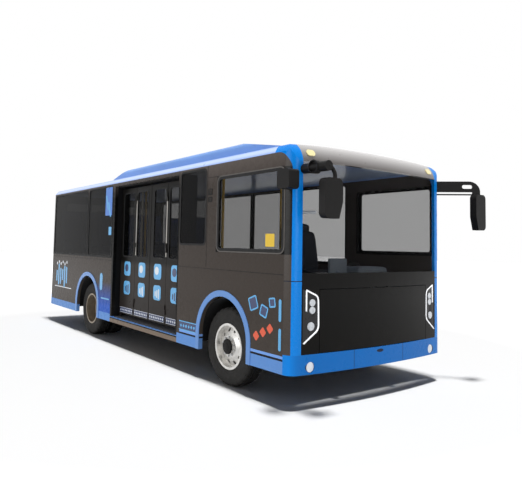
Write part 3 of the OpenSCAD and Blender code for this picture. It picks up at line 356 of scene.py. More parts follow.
finishes = {
    "side": sidePaint("side_paint"),
    "door": doorPaint("door_paint"),
    "blue": postPaint("corner_paint"),
    "bumper": bumperPaint("bumper_blue"),
    "roof": roofPaint("roof_blue"),
    "header": headerPaint("header_grey"),
    "smallLamp": smallLampLens("small_lamp_lens"),
    "pod": paint("pod_blue", colors["pod"], 0.34, 0.1, 0.0, 0.3),
    "trim": paint("arch_blue", colors["trim"], 0.36, 0.1, 0.05, 0.3),
    "black": paint("front_black", linear(14, 13, 12), 0.2, 0.0, 0.02, 0.07),
    "rear": paint("rear_grey", colors["grey"], 0.3, 0.0, 0.1, 0.08),
    "chassis": paint("chassis_paint", linear(38, 38, 40), 0.5, 0.1, 0.5),
    "yellow": paint("rail_yellow", linear(226, 178, 30), 0.35, 0.4, 0.0),
    "battery": paint("battery_case", linear(70, 74, 78), 0.5, 0.1, 0.3),
    "white": paint("print_white", linear(226, 232, 240), 0.4, 0.2, 0.0),
    "sky": paint("print_sky", linear(92, 176, 232), 0.4, 0.2, 0.0),
    "navy": paint("print_navy", linear(26, 44, 92), 0.4, 0.2, 0.0),
    "coral": paint("print_coral", linear(226, 84, 44), 0.4, 0.2, 0.0),
    "paneBlue": paint("print_blue", linear(36, 118, 212), 0.3, 0.2, 0.0),
    "notice": paint("notice_yellow", linear(228, 190, 40), 0.45, 0.1, 0.0),
    "edge": paint("edge_strip", linear(186, 182, 176), 0.4, 0.1, 0.1),
    "jamb": plastic("jamb_black", linear(16, 16, 17), 0.5, 0.1),
    "case": plastic("mirror_case", linear(18, 17, 17), 0.45, 0.12),
    "dash": plastic("dash_grey", linear(122, 130, 138), 0.6),
    "lampUnit": plastic("lamp_housing", linear(26, 26, 28), 0.3),
    "seat": plastic("seat_shell", linear(44, 74, 124), 0.45),
    "deck": rubber("deck_cover", linear(58, 58, 61), 0.8, 400.0),
    "housing": rubber("housing_liner", linear(22, 22, 23), 0.85),
    "bellows": rubber("bellows_rubber", linear(20, 20, 21)),
    "tyre": rubber("tyre_rubber", linear(30, 29, 28), 0.8, 220.0),
    "cloth": rubber("driver_cloth", linear(44, 46, 52), 0.9, 700.0),
    "padCloth": rubber("pad_cloth", linear(60, 84, 130), 0.9, 700.0),
    "grip": rubber("wheel_grip", linear(26, 26, 27), 0.6),
    "gasket": rubber("gasket_rubber", linear(16, 16, 17), 0.7),
    "seam": rubber("seam_filler", linear(12, 12, 13), 0.8),
    "iron": metal("axle_iron", linear(70, 68, 66), 0.55, 0.8),
    "steel": metal("bright_steel", linear(205, 206, 208), 0.25),
    "rim": metal("rim_silver", linear(222, 220, 216), 0.38, 0.6),
    "rearRim": metal("rim_bronze", linear(150, 138, 122), 0.42, 0.6),
    "frameGrey": metal("frame_grey", linear(84, 80, 77), 0.4, 0.5),
    "mirror": metal("mirror_face", linear(225, 228, 230), 0.1),
    "windscreen": glass("windscreen_glass", linear(10, 10, 11), 0.16),
    "pane": glass("side_glass", linear(10, 10, 11), 0.72),
    "cabPane": glass("cab_glass", linear(14, 14, 14), 0.36),
    "doorPane": glass("door_glass", linear(8, 8, 8), 0.55),
    "lampLight": lens("lamp_light", linear(245, 247, 250), 0.35),
    "lampLens": lens("lamp_lens", linear(205, 210, 216)),
    "tailLamp": lens("tail_lens", linear(170, 18, 16)),
}

dressing = {
    "side": ["side_upper_right", "side_upper_left", "side_lower_right", "side_lower_left"],
    "door": ["door_post_panel_rear", "door_post_panel_front", "door_lead_panel_rear", "door_lead_panel_front"],
    "blue": ["corner_posts"], "bumper": ["front_bumper", "rear_bumper"], "pod": ["roof_pod"], "roof": ["roof"],
    "trim": ["arch_trims"], "black": ["front_cowl", "front_flap"], "header": ["front_header"],
    "rear": ["rear_upper", "rear_lower", "rear_hatch"], "jamb": ["door_frame"], "case": ["mirror_right", "mirror_left"],
    "chassis": ["chassis_frame"], "deck": ["floor"], "housing": ["wheel_housings"],
    "iron": ["front_axle", "rear_axle", "knuckle_right", "knuckle_left"], "steel": ["tie_rod"],
    "bellows": ["air_springs"],
    "tyre": ["front_tyre_right", "front_tyre_left", "rear_tyres_right", "rear_tyres_left"],
    "rim": ["front_wheel_right", "front_wheel_left"], "rearRim": ["rear_wheels_right", "rear_wheels_left"],
    "windscreen": ["windscreen"], "pane": ["side_glass", "rear_window"],
    "doorPane": ["door_post_glass_rear", "door_post_glass_front", "door_lead_glass_rear", "door_lead_glass_front"],
    "dash": ["dashboard"], "yellow": ["handrails"], "lampUnit": ["headlamps"], "smallLamp": ["small_lamps"],
    "tailLamp": ["tail_lamps"], "mirror": ["mirror_glass"], "battery": ["battery_pack"], "seat": ["passenger_seats"],
    "cloth": ["driver_seat"], "grip": ["steering_wheel"],
}
for finishName, members in dressing.items():
    for member in members:
        data = nodes[member].data
        data.materials.clear()
        data.materials.append(finishes[finishName])
print("stage: finishes set")


def finishPiece(mesh, name, finishName, body, smooth=False):
    bmesh.ops.recalc_face_normals(mesh, faces=mesh.faces[:])
    data = bpy.data.meshes.new(name)
    mesh.to_mesh(data)
    mesh.free()
    if smooth:
        data.shade_smooth()
    piece = bpy.data.objects.new(name, data)
    bpy.context.scene.collection.objects.link(piece)
    data.materials.append(finishes[finishName])
    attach(piece, body)
    return piece


def mergeInto(mesh, part, matrix):  # adds a finished part to a larger piece
    bmesh.ops.recalc_face_normals(part, faces=part.faces[:])
    bmesh.ops.transform(part, matrix=matrix, verts=part.verts[:])
    data = bpy.data.meshes.new("part")
    part.to_mesh(data)
    part.free()
    mesh.from_mesh(data)
    bpy.data.meshes.remove(data)


def newVerts(made):
    return [item for item in made["geom"] if isinstance(item, bmesh.types.BMVert)]


def stamp(mesh, width, height, radius, thick, place, turn=0.0, side=-1, border=0.0):  # plate or ring on a wall
    part = bmesh.new()
    bmesh.ops.create_grid(part, x_segments=1, y_segments=1, size=0.5)
    bmesh.ops.scale(part, vec=(width, height, 1), verts=part.verts[:])
    if radius > 0:
        bmesh.ops.bevel(part, geom=part.verts[:], offset=radius, offset_type="OFFSET", segments=5, profile=0.5,
                        affect="VERTICES", material=-1)
    if border > 0:
        inner = part.faces[:]
        bmesh.ops.inset_region(part, faces=inner, thickness=border, use_even_offset=True, use_boundary=True)
        bmesh.ops.delete(part, geom=inner, context="FACES_ONLY")
    grown = bmesh.ops.extrude_face_region(part, geom=part.faces[:])
    bmesh.ops.translate(part, vec=(0, 0, thick), verts=newVerts(grown))
    upright = Matrix.Rotation(math.pi / 2, 4, "X")
    if side > 0:
        upright = Matrix.Rotation(math.pi, 4, "Z") @ upright
    mergeInto(mesh, part, Matrix.Translation(place) @ upright @ Matrix.Rotation(turn, 4, "Z"))


def block(mesh, size, matrix, edge):  # box with rounded edges
    part = bmesh.new()
    bmesh.ops.create_cube(part, size=1.0)
    bmesh.ops.scale(part, vec=size, verts=part.verts[:])
    bmesh.ops.bevel(part, geom=part.edges[:], offset=edge, offset_type="OFFSET", segments=3, profile=0.5,
                    affect="EDGES", material=-1)
    mergeInto(mesh, part, matrix)


def boxed(mesh, low, high, edge):
    block(mesh, high - low, Matrix.Translation((low + high) / 2), edge)


def spinRound(part, verts, edges, steps):
    bmesh.ops.spin(part, geom=verts + edges, cent=(0, 0, 0), axis=(0, 1, 0), dvec=(0, 0, 0),
                   angle=2 * math.pi, steps=steps, use_merge=True)


tyreShape = {
    "steps": 84, "sipes": 3, "sipeDepth": 0.006, "sipeShift": 1.25, "tread": 0.38, "shoulder": (0.05, 0.09),
    "profile": [(-0.0855, 0.2256), (-0.0872, 0.2356), (-0.0955, 0.252), (-0.1, 0.27), (-0.0985, 0.276), (-0.1022, 0.3),
                (-0.1022, 0.33), (-0.0995, 0.35), (-0.1, 0.356), (-0.094, 0.376), (-0.0805, 0.394), (-0.062, 0.3995),
                (-0.05, 0.4), (-0.049, 0.39), (-0.041, 0.39), (-0.04, 0.4), (-0.02, 0.4), (-0.019, 0.39),
                (-0.011, 0.39), (-0.01, 0.4)]}  # half the section: across and radius


def treadTyre(mesh, center):
    half = tyreShape["profile"]
    outline = half + [(-y, r) for y, r in reversed(half)]
    part = bmesh.new()
    verts = [part.verts.new((0, y, r)) for y, r in outline]
    edges = [part.edges.new(pair) for pair in zip(verts, verts[1:] + verts[:1])]
    spinRound(part, verts, edges, tyreShape["steps"])
    bmesh.ops.recalc_face_normals(part, faces=part.faces[:])
    step = 2 * math.pi / tyreShape["steps"]
    inner, outer = tyreShape["shoulder"]
    sipes = []
    for f in part.faces:
        c = f.calc_center_median()
        turn = math.floor(math.atan2(c.x, c.z) / step + tyreShape["sipeShift"])
        onTread = math.hypot(c.x, c.z) > tyreShape["tread"] and inner < abs(c.y) < outer
        if onTread and turn % tyreShape["sipes"] == 0:
            sipes.append(f)
    for v in newVerts(bmesh.ops.extrude_face_region(part, geom=sipes)):
        radius = math.hypot(v.co.x, v.co.z)
        v.co.x *= (radius - tyreShape["sipeDepth"]) / radius
        v.co.z *= (radius - tyreShape["sipeDepth"]) / radius
    bmesh.ops.delete(part, geom=sipes, context="FACES")
    mergeInto(mesh, part, Matrix.Translation(center))


sides = (("right", -1), ("left", 1))
wheels = {"frontY": 0.9425, "twinY": 0.8245, "twinHalf": 0.118}
for sideName, sign in sides:
    mesh = bmesh.new()
    treadTyre(mesh, spot(bus["axleF"], sign * wheels["frontY"], bus["wheelZ"]))
    tyre = finishPiece(mesh, "treadTyreFront_" + sideName, "tyre", "front_wheel_" + sideName)
    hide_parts("front_tyre_" + sideName)
    mesh = bmesh.new()
    for offset in (-wheels["twinHalf"], wheels["twinHalf"]):
        treadTyre(mesh, spot(bus["axleR"], sign * wheels["twinY"] + offset, bus["wheelZ"]))
    tyre = finishPiece(mesh, "treadTyresRear_" + sideName, "tyre", "rear_wheel_" + sideName)
    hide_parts("rear_tyres_" + sideName)
print("stage: tyres made")

nuts = {"count": 10, "size": 0.0125, "taper": 0.82}
hubs = {
    "Front": {"x": bus["axleF"], "y": wheels["frontY"], "body": "front_wheel_", "nutFace": 0.0765, "nutCircle": 0.0945,
              "nutHeight": 0.02, "capFace": 0.1085, "capFinish": "case",
              "cap": [(0.056, -0.012), (0.078, -0.012), (0.078, 0.0), (0.068, 0.008), (0.04, 0.012), (0.036, 0.016),
                      (0.0, 0.018)]},
    "Rear": {"x": bus["axleR"], "y": wheels["twinY"], "body": "rear_wheel_", "nutFace": 0.0125, "nutCircle": 0.104,
             "nutHeight": 0.022, "capFace": 0.0965, "capFinish": "iron",
             "cap": [(0.08, 0.0), (0.08, 0.01), (0.07, 0.016), (0.04, 0.018), (0.0, 0.02)]}}


def nutRing(mesh, center, sign, circle, height):
    for i in range(nuts["count"]):
        angle = 2 * math.pi * i / nuts["count"]
        made = bmesh.ops.create_cone(mesh, cap_ends=True, segments=6, radius1=nuts["size"],
                                     radius2=nuts["size"] * nuts["taper"], depth=height)["verts"]
        out = Vector((circle * math.sin(angle), sign * height / 2, circle * math.cos(angle)))
        place = Matrix.Translation(center + out) @ Matrix.Rotation(-sign * math.pi / 2, 4, "X")
        bmesh.ops.transform(mesh, matrix=place, verts=made)


def hubCap(mesh, center, sign, steps):  # cap of revolution from radius and height pairs
    part = bmesh.new()
    verts = [part.verts.new((0, sign * h, r)) for r, h in steps]
    edges = [part.edges.new(pair) for pair in zip(verts, verts[1:])]
    spinRound(part, verts, edges, 32)
    bmesh.ops.remove_doubles(part, verts=part.verts[:], dist=0.0001)
    mergeInto(mesh, part, Matrix.Translation(center))


for sideName, sign in sides:
    for end, hub in hubs.items():
        mesh = bmesh.new()
        face = spot(hub["x"], sign * (hub["y"] + hub["nutFace"]), bus["wheelZ"])
        nutRing(mesh, face, sign, hub["nutCircle"], hub["nutHeight"])
        finishPiece(mesh, "wheelNuts" + end + "_" + sideName, "steel", hub["body"] + sideName)
        mesh = bmesh.new()
        hubCap(mesh, spot(hub["x"], sign * (hub["y"] + hub["capFace"]), bus["wheelZ"]), sign, hub["cap"])
        finishPiece(mesh, "hubCap" + end + "_" + sideName, hub["capFinish"], hub["body"] + sideName)
print("stage: wheel nuts and caps made")


def islands(mesh):  # groups of joined vertices
    groups, seen = [], set()
    for start in mesh.verts:
        if start in seen:
            continue
        group, queue = [], [start]
        seen.add(start)
        while queue:
            v = queue.pop()
            group.append(v)
            for e in v.link_edges:
                other = e.other_vert(v)
                if other not in seen:
                    seen.add(other)
                    queue.append(other)
        groups.append(group)
    return groups


def copyNode(name):
    mesh = bmesh.new()
    mesh.from_mesh(nodes[name].data)
    bmesh.ops.remove_doubles(mesh, verts=mesh.verts[:], dist=0.00001)
    return mesh


def markFaces(group, index):
    for f in {f for v in group for f in v.link_faces}:
        f.material_index = index


lightBar = {"radius": 0.0078, "bowCenter": -8.0042, "bow": 8.068, "proud": 0.0265, "shellDepth": -0.03,
            "path": [(-0.945, 0.87), (-0.945, 1.058), (-0.945, 1.058), (-0.88, 1.028), (-0.813, 1.0), (-0.811, 0.91),
                     (-0.808, 0.79), (-0.807, 0.7), (-0.88, 0.652), (-0.974, 0.584)]}  # y and z on the bowed front


def lightLine(mesh, side):
    curve = bpy.data.curves.new("lightPath", "CURVE")
    curve.dimensions = "3D"
    curve.bevel_depth = lightBar["radius"]
    curve.bevel_resolution = 3
    curve.use_fill_caps = True
    line = curve.splines.new("NURBS")
    line.points.add(len(lightBar["path"]) - 1)
    for point, (y, z) in zip(line.points, lightBar["path"]):
        x = lightBar["bowCenter"] + math.sqrt(lightBar["bow"] ** 2 - y ** 2)
        point.co = (*spot(x, side * y, z), 1)
    line.order_u = 3
    line.use_endpoint_u = True
    line.resolution_u = 6
    holder = bpy.data.objects.new("lightPath", curve)
    bpy.context.scene.collection.objects.link(holder)
    data = bpy.data.meshes.new_from_object(holder.evaluated_get(bpy.context.evaluated_depsgraph_get()))
    mesh.from_mesh(data)
    bpy.data.objects.remove(holder)
    bpy.data.curves.remove(curve)
    bpy.data.meshes.remove(data)


mesh = bmesh.new()
for side in (1, -1):
    lightLine(mesh, side)
bmesh.ops.remove_doubles(mesh, verts=mesh.verts[:], dist=0.00001)
finishPiece(mesh, "lampLightLines", "lampLight", "coach", smooth=True)

mesh = copyNode("headlamps")
straight = []  # the solids' straight light lines, drawn anew above
for group in islands(mesh):
    depths = [v.co.x - bus["shiftX"] for v in group]
    if max(depths) > lightBar["proud"]:
        straight += group
    markFaces(group, 0 if min(depths) < lightBar["shellDepth"] else 1)
bmesh.ops.delete(mesh, geom=straight, context="VERTS")
lamps = finishPiece(mesh, "headlampUnits", "lampUnit", "coach")
lamps.data.materials.append(finishes["lampLens"])
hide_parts("headlamps")

mesh = copyNode("side_glass")
cabRear = -1.3  # the cab's panes and the far side are less tinted than the door side
for group in islands(mesh):
    ahead = min(v.co.x for v in group) > cabRear + bus["shiftX"]
    if ahead or min(v.co.y for v in group) > bus["shiftY"]:
        markFaces(group, 1)
glazing = finishPiece(mesh, "sideGlazing", "pane", "coach")
glazing.data.materials.append(finishes["cabPane"])
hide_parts("side_glass")
print("stage: lamps and panes told apart")

panes = {"corner": 0.055, "proud": 0.003, "lap": 0.004, "rubber": 0.022, "cabRubber": 0.03,
         "frameLap": 0.016, "frameWidth": 0.011, "cab": (-1.17, -0.11, 1.39, 2.162),
         "right": [(-1.953, -1.39, 1.44, 2.287), (-4.843, -3.908, 1.235, 2.287), (-6.5, -4.883, 1.235, 2.287)],
         "left": [(-1.39 - 1.03 * i - 0.99, -1.39 - 1.03 * i, 1.235, 2.287) for i in range(5)]}


def paneRing(mesh, pane, side, grow, border, wallY):
    x0, x1, z0, z1 = pane
    stamp(mesh, x1 - x0 + 2 * grow, z1 - z0 + 2 * grow, panes["corner"] + grow, panes["proud"],
          spot((x0 + x1) / 2, side * wallY, (z0 + z1) / 2), 0.0, side, border)


mesh = bmesh.new()
for sideName, sign in sides:
    for pane in panes[sideName]:
        paneRing(mesh, pane, sign, panes["lap"], panes["rubber"], bus["half"])
    paneRing(mesh, panes["cab"], sign, panes["lap"], panes["cabRubber"], bus["half"])
finishPiece(mesh, "windowGaskets", "gasket", "coach")
mesh = bmesh.new()
for sideName, sign in sides:
    paneRing(mesh, panes["cab"], sign, panes["frameLap"], panes["frameWidth"], bus["half"])
finishPiece(mesh, "cabWindowFrames", "frameGrey", "coach")
print("stage: window rubbers made")

printThick = 0.0012
leaves = {"face": 1.006, "post": 0.03, "width": 0.4, "postMid": 0.212, "leadMid": 0.666, "glassZ": (1.25, 2.168),
          "postGlass": (0.045, 0.4), "leadGlass": (0.475, 0.815), "rubber": 0.02,
          "tiles": ((1.085, 0.2), (0.815, 0.19)), "tileWidth": 0.2, "tileCorner": 0.045,
          "discX": -0.02, "discZ": 1.095, "discSize": 0.105, "discCorner": 0.05,
          "bars": ((-0.045, 0.07), (0.0, 0.1), (0.045, 0.13)), "barZ": 0.8, "barWidth": 0.026, "barCorner": 0.012,
          "bandZ": 0.495, "bandHeight": 0.075, "bandCorner": 0.006, "bandLines": (0.528, 0.462), "lineHeight": 0.006,
          "diamonds": 8, "diamondFrom": 0.03, "diamondStep": 0.0485, "diamondSize": 0.024, "diamondCorner": 0.002,
          "stripAt": 0.458, "stripZ": 1.66, "stripSize": (0.02, 0.76), "stripCorner": 0.005}


def doorMark(mesh, x, z, width, height, corner, layer=0, turn=0.0):
    stamp(mesh, width, height, corner, printThick, spot(x, -leaves["face"] - layer * printThick, z), turn)


def doorLeafMarks(mid, body, kind, half):
    tail = kind + "_" + half
    mesh = bmesh.new()
    for z, height in leaves["tiles"]:
        doorMark(mesh, mid, z, leaves["tileWidth"], height, leaves["tileCorner"])
    finishPiece(mesh, "doorPrint_" + tail, "sky", body)
    mesh = bmesh.new()
    disc = leaves["discSize"]
    doorMark(mesh, mid + leaves["discX"], leaves["discZ"], disc, disc, leaves["discCorner"], 1)
    for x, height in leaves["bars"]:
        doorMark(mesh, mid + x, leaves["barZ"], leaves["barWidth"], height, leaves["barCorner"], 1)
    finishPiece(mesh, "doorPrintPale_" + tail, "white" if kind == "lead" else "navy", body)
    mesh = bmesh.new()
    doorMark(mesh, mid, leaves["bandZ"], leaves["width"], leaves["bandHeight"], leaves["bandCorner"])
    finishPiece(mesh, "doorBand_" + tail, "navy", body)
    mesh = bmesh.new()
    first = mid - leaves["width"] / 2 + leaves["diamondFrom"]
    for i in range(leaves["diamonds"]):
        doorMark(mesh, first + leaves["diamondStep"] * i, leaves["bandZ"], leaves["diamondSize"], leaves["diamondSize"],
                 leaves["diamondCorner"], 1, math.pi / 4)
    for z in leaves["bandLines"]:
        doorMark(mesh, mid, z, leaves["width"], leaves["lineHeight"], 0.0, 1)
    finishPiece(mesh, "doorBandMarks_" + tail, "white", body)


doorHalves = [("rear", 1, bus["doorR"] + leaves["post"]), ("front", -1, bus["doorF"] - leaves["post"])]
for half, way, pivot in doorHalves:
    for kind in ("post", "lead"):
        body = "door_" + kind + "_" + half
        x0, x1 = sorted(pivot + way * reach for reach in leaves[kind + "Glass"])
        mesh = bmesh.new()
        paneRing(mesh, (x0, x1, *leaves["glassZ"]), -1, panes["lap"], leaves["rubber"], leaves["face"])
        finishPiece(mesh, "doorGasket_" + kind + "_" + half, "gasket", body)
        doorLeafMarks(pivot + way * leaves[kind + "Mid"], body, kind, half)
    mesh = bmesh.new()
    doorMark(mesh, pivot + way * leaves["stripAt"], leaves["stripZ"], *leaves["stripSize"], leaves["stripCorner"])
    finishPiece(mesh, "doorEdgeStrip_" + half, "edge", "door_lead_" + half)
print("stage: door dressing made")

diagonal = math.pi / 4
motif = {  # each mark: x, z, width, height, corner, then turn and border if any
    "tiles": [(-0.53, 0.9, 0.13, 0.13, 0.02, 0.35), (-0.37, 0.84, 0.11, 0.11, 0.02, -0.3),
              (-0.25, 0.93, 0.09, 0.09, 0.016, 0.15)],
    "tileRim": 0.014,
    "diamonds": [(-0.48 + 0.1 * i, 0.6 + 0.045 * i, 0.07, 0.07, 0.012, diagonal) for i in range(3)],
    "uprights": [(-0.14, 0.87, 0.035, 0.2, 0.017), (-0.14, 0.61, 0.035, 0.2, 0.017)],
    "behindDoor": [(-4.24, 0.86, 0.1, 0.26, 0.05), (-4.08, 0.62, 0.3, 0.02, 0.009)],
    "bars": [(-6.28 + 0.1 * i, 0.84 + 0.03 * (i % 2), 0.055, 0.2 + 0.09 * ((i * 2) % 3), 0.027) for i in range(6)],
    "dots": [(-6.28 + 0.1 * i, 1.06 + 0.03 * (i % 2), 0.05, 0.05, 0.024) for i in range(6)],
    "underline": [(-5.95, 0.655, 0.85, 0.014, 0.006)],
    "paneBand": [(-4.045, 2.06, 0.24, 0.42, 0.01)],
    "paneStrokes": [(-4.1, 2.04, 0.035, 0.24, 0.016, 0.35), (-4.01, 1.94, 0.035, 0.24, 0.016, 0.35),
                    (-3.97, 1.62, 0.1, 0.12, 0.012)],
    "strutBand": [(-1.72, 0.52, 0.36, 0.09, 0.008)],
    "strutLines": [(-1.72, 0.568, 0.37, 0.01, 0), (-1.72, 0.474, 0.37, 0.01, 0)]
                  + [(-1.86 + 0.056 * i, 0.52, 0.028, 0.028, 0.002, diagonal) for i in range(6)],
}
seams = {"right": [(-1.03, bus["belt"], 1.85, 0.005, 0), (-5.2, bus["belt"], 2.65, 0.005, 0)],
         "left": [(-3.3, bus["belt"], 6.4, 0.005, 0)],
         "cab": [(-1.372, 1.76, 0.005, 1.1, 0), (-0.74, 2.176, 1.26, 0.005, 0)]}


def sideMarks(name, finishName, marks, side=-1, layer=0):
    mesh = bmesh.new()
    for mark in marks:
        x, z, width, height, corner, turn, border = (*mark, 0, 0)[:7]
        place = spot(x, side * (bus["half"] + layer * printThick), z)
        stamp(mesh, width, height, corner, printThick, place, turn, side, border)
    finishPiece(mesh, name, finishName, "coach")


for side, tag in ((-1, "Right"), (1, "Left")):
    rims = [tile + (motif["tileRim"],) for tile in motif["tiles"]]
    sideMarks("motifCoral" + tag, "coral", motif["diamonds"], side)
    sideMarks("motifNavy" + tag, "navy", motif["tiles"], side)
    sideMarks("motifSky" + tag, "sky", rims + motif["uprights"] + motif["behindDoor"], side, 1)
    sideMarks("motifBars" + tag, "sky", motif["bars"], side)
    sideMarks("motifDots" + tag, "white", motif["dots"] + motif["underline"], side)
sideMarks("paneBand", "paneBlue", motif["paneBand"], -1, 3)
sideMarks("paneStrokes", "sky", motif["paneStrokes"], -1, 4)
sideMarks("strutBand", "navy", motif["strutBand"])
sideMarks("strutLines", "sky", motif["strutLines"], -1, 1)
sideMarks("seamLines", "seam", seams["right"] + seams["cab"])
sideMarks("seamLinesLeft", "seam", seams["left"] + seams["cab"], 1)

vents = {"x": -1.3165, "z": ((1.984, 2.054), (1.908, 1.966)), "width": 0.075, "corner": 0.008, "thick": 0.004,
         "border": 0.01, "slats": 3, "slatFrom": 0.016, "slatStep": 0.014, "slatSize": (0.056, 0.007),
         "slatCorner": 0.002, "slatThick": 0.003}
mesh = bmesh.new()
for z0, z1 in vents["z"]:
    stamp(mesh, vents["width"], z1 - z0, vents["corner"], vents["thick"],
          spot(vents["x"], -bus["half"], (z0 + z1) / 2), 0.0, -1, vents["border"])
    for i in range(vents["slats"]):
        place = spot(vents["x"], -bus["half"], z0 + vents["slatFrom"] + vents["slatStep"] * i)
        stamp(mesh, *vents["slatSize"], vents["slatCorner"], vents["slatThick"], place)
finishPiece(mesh, "pillarVents", "case", "coach")
notice = {"x": -0.3, "z": 1.5, "size": (0.13, 0.12), "corner": 0.008}
mesh = bmesh.new()
stamp(mesh, *notice["size"], notice["corner"], printThick, spot(notice["x"], -bus["half"], notice["z"]))
finishPiece(mesh, "blankNotice", "notice", "coach")
print("stage: side marks made")

chair = {"width": 0.37, "squab": (-0.39, -0.005, 0.43, 0.05), "backFoot": (-0.4, 0.44), "backTop": (-0.492, 0.98),
         "backThick": 0.05, "backTrim": 0.02, "puff": 1.6, "padThick": 0.6,
         "rows": [(-4.2, -0.815, 0.93), (-4.2, 0.815, 0.93), (-4.93, -0.815, 0.93), (-4.93, 0.815, 0.93)]
                 + [(-5.94, y, 1.01) for y in (-0.84, -0.42, 0.0, 0.42, 0.84)]
                 + [(-2.193, 0.84, 0.392), (-2.993, 0.84, 0.392)]}
pad = {"cuts": 6, "rounds": 4, "rim": 0.72, "crown": 0.28}


def cushion(mesh, size, matrix):  # crowned and softened pad
    part = bmesh.new()
    bmesh.ops.create_cube(part, size=1.0)
    bmesh.ops.scale(part, vec=size, verts=part.verts[:])
    bmesh.ops.subdivide_edges(part, edges=part.edges[:], cuts=pad["cuts"], use_grid_fill=True)
    for v in part.verts:
        u, w = v.co.x / size[0] * 2, v.co.y / size[1] * 2
        v.co.z *= pad["rim"] + pad["crown"] * (1 - u ** 4) * (1 - w ** 4)
    for _ in range(pad["rounds"]):
        bmesh.ops.smooth_vert(part, verts=part.verts[:], factor=0.5, use_axis_x=True, use_axis_y=True, use_axis_z=True)
    mergeInto(mesh, part, matrix)


def seatPads(mesh, seat, thick):
    base = spot(*seat)
    x0, x1, z, deep = chair["squab"]
    middle = Vector(((x0 + x1) / 2, 0, z + deep * thick / 2))
    cushion(mesh, (x1 - x0, chair["width"], deep * thick * chair["puff"]), Matrix.Translation(base + middle))
    (footX, footZ), (topX, topZ) = chair["backFoot"], chair["backTop"]
    foot, top = Vector((footX, 0, footZ)), Vector((topX, 0, topZ))
    lean = math.atan2(foot.x - top.x, top.z - foot.z)
    ahead = Vector((math.cos(lean), 0, math.sin(lean))) * chair["backThick"] * thick / 2
    turned = Matrix.Rotation(-lean, 4, "Y") @ Matrix.Rotation(math.pi / 2, 4, "Y")
    size = ((top - foot).length - chair["backTrim"], chair["width"], chair["backThick"] * thick * chair["puff"])
    cushion(mesh, size, Matrix.Translation(base + (foot + top) / 2 + ahead) @ turned)


mesh = bmesh.new()
for row in chair["rows"]:
    seatPads(mesh, row, chair["padThick"])
pads = finishPiece(mesh, "passengerPads", "padCloth", "coach", smooth=True)

driverSeat = {"place": (-1.01, 0.4, 0.67), "padThick": 1.1, "edge": 0.03,
              "boxes": [((-0.38, -0.13, 0.0), (-0.1, 0.13, 0.3)), ((-0.46, -0.2, 0.3), (-0.005, 0.2, 0.4))],
              "back": (0.05, 0.38, 0.62), "backAt": (-0.475, 0, 0.66), "backLean": -0.16, "backEdge": 0.02,
              "headrest": (0.07, 0.24, 0.15), "headrestAt": (-0.5, 0, 1.0)}
mesh = bmesh.new()
base = spot(*driverSeat["place"])
for boxLow, boxHigh in driverSeat["boxes"]:
    boxed(mesh, base + Vector(boxLow), base + Vector(boxHigh), driverSeat["edge"])
backPlace = Matrix.Translation(base + Vector(driverSeat["backAt"])) @ Matrix.Rotation(driverSeat["backLean"], 4, "Y")
block(mesh, Vector(driverSeat["back"]), backPlace, driverSeat["backEdge"])
driverFrame = finishPiece(mesh, "driverSeatFrame", "dash", "coach")
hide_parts("driver_seat")
mesh = bmesh.new()
seatPads(mesh, driverSeat["place"], driverSeat["padThick"])
cushion(mesh, driverSeat["headrest"], Matrix.Translation(base + Vector(driverSeat["headrestAt"])))
driverPads = finishPiece(mesh, "driverPads", "cloth", "coach", smooth=True)
print("stage: seats made")

hood = [((-0.62, 0.16, 1.13), (-0.34, 0.64, 1.24), 0.04), ((-0.5, -0.16, 1.15), (-0.46, 0.1, 1.33), 0.012),
        ((-0.47, -0.07, 1.1), (-0.44, 0.0, 1.2), 0.008)]  # cowl, screen and its stalk: two corners and edge
mesh = bmesh.new()
for boxLow, boxHigh, edge in hood:
    boxed(mesh, spot(*boxLow), spot(*boxHigh), edge)
finishPiece(mesh, "instrumentHood", "dash", "coach")


def bentTube(mesh, points, radius):  # straight runs with a ball at each turn
    for a, b in zip(points, points[1:]):
        span = b - a
        made = bmesh.ops.create_cone(mesh, cap_ends=True, segments=16, radius1=radius, radius2=radius,
                                     depth=span.length)["verts"]
        place = Matrix.Translation((a + b) / 2) @ span.to_track_quat("Z", "Y").to_matrix().to_4x4()
        bmesh.ops.transform(mesh, matrix=place, verts=made)
    for p in points[1:-1]:
        made = bmesh.ops.create_uvsphere(mesh, u_segments=16, v_segments=8, radius=radius)["verts"]
        bmesh.ops.translate(mesh, vec=p, verts=made)


handle = {"path": [(-0.14, -0.96, 1.72), (-0.13, -0.92, 1.765), (-0.12, -0.72, 1.775)], "radius": 0.014}
mesh = bmesh.new()
bentTube(mesh, [spot(*point) for point in handle["path"]], handle["radius"])
finishPiece(mesh, "cabGrabHandle", "white", "coach")

drum = {"place": (0.16, -1.035, 2.15),
        "shape": [(0.06, -0.06), (0.062, 0.0), (0.056, 0.004), (0.05, 0.002), (0.048, -0.02), (0.0, -0.022)]}
mesh = bmesh.new()
hubCap(mesh, spot(*drum["place"]), -1, drum["shape"])
finishPiece(mesh, "mirrorPivotDrum", "case", "coach")

origin = Vector((0, 0, 0))
quarterBack = Matrix.Rotation(-math.pi / 2, 4, "Z")
fogRim = {"x": 0.006, "y": 0.893, "z": 0.374,
          "shape": [(0.046, 0.0), (0.046, 0.004), (0.05, 0.006), (0.058, 0.004), (0.06, 0.0), (0.06, -0.01)]}
mesh = bmesh.new()
for sideName, sign in sides:
    part = bmesh.new()
    hubCap(part, origin, 1, fogRim["shape"])
    mergeInto(mesh, part, Matrix.Translation(spot(fogRim["x"], sign * fogRim["y"], fogRim["z"])) @ quarterBack)
finishPiece(mesh, "fogLampRims", "case", "coach")

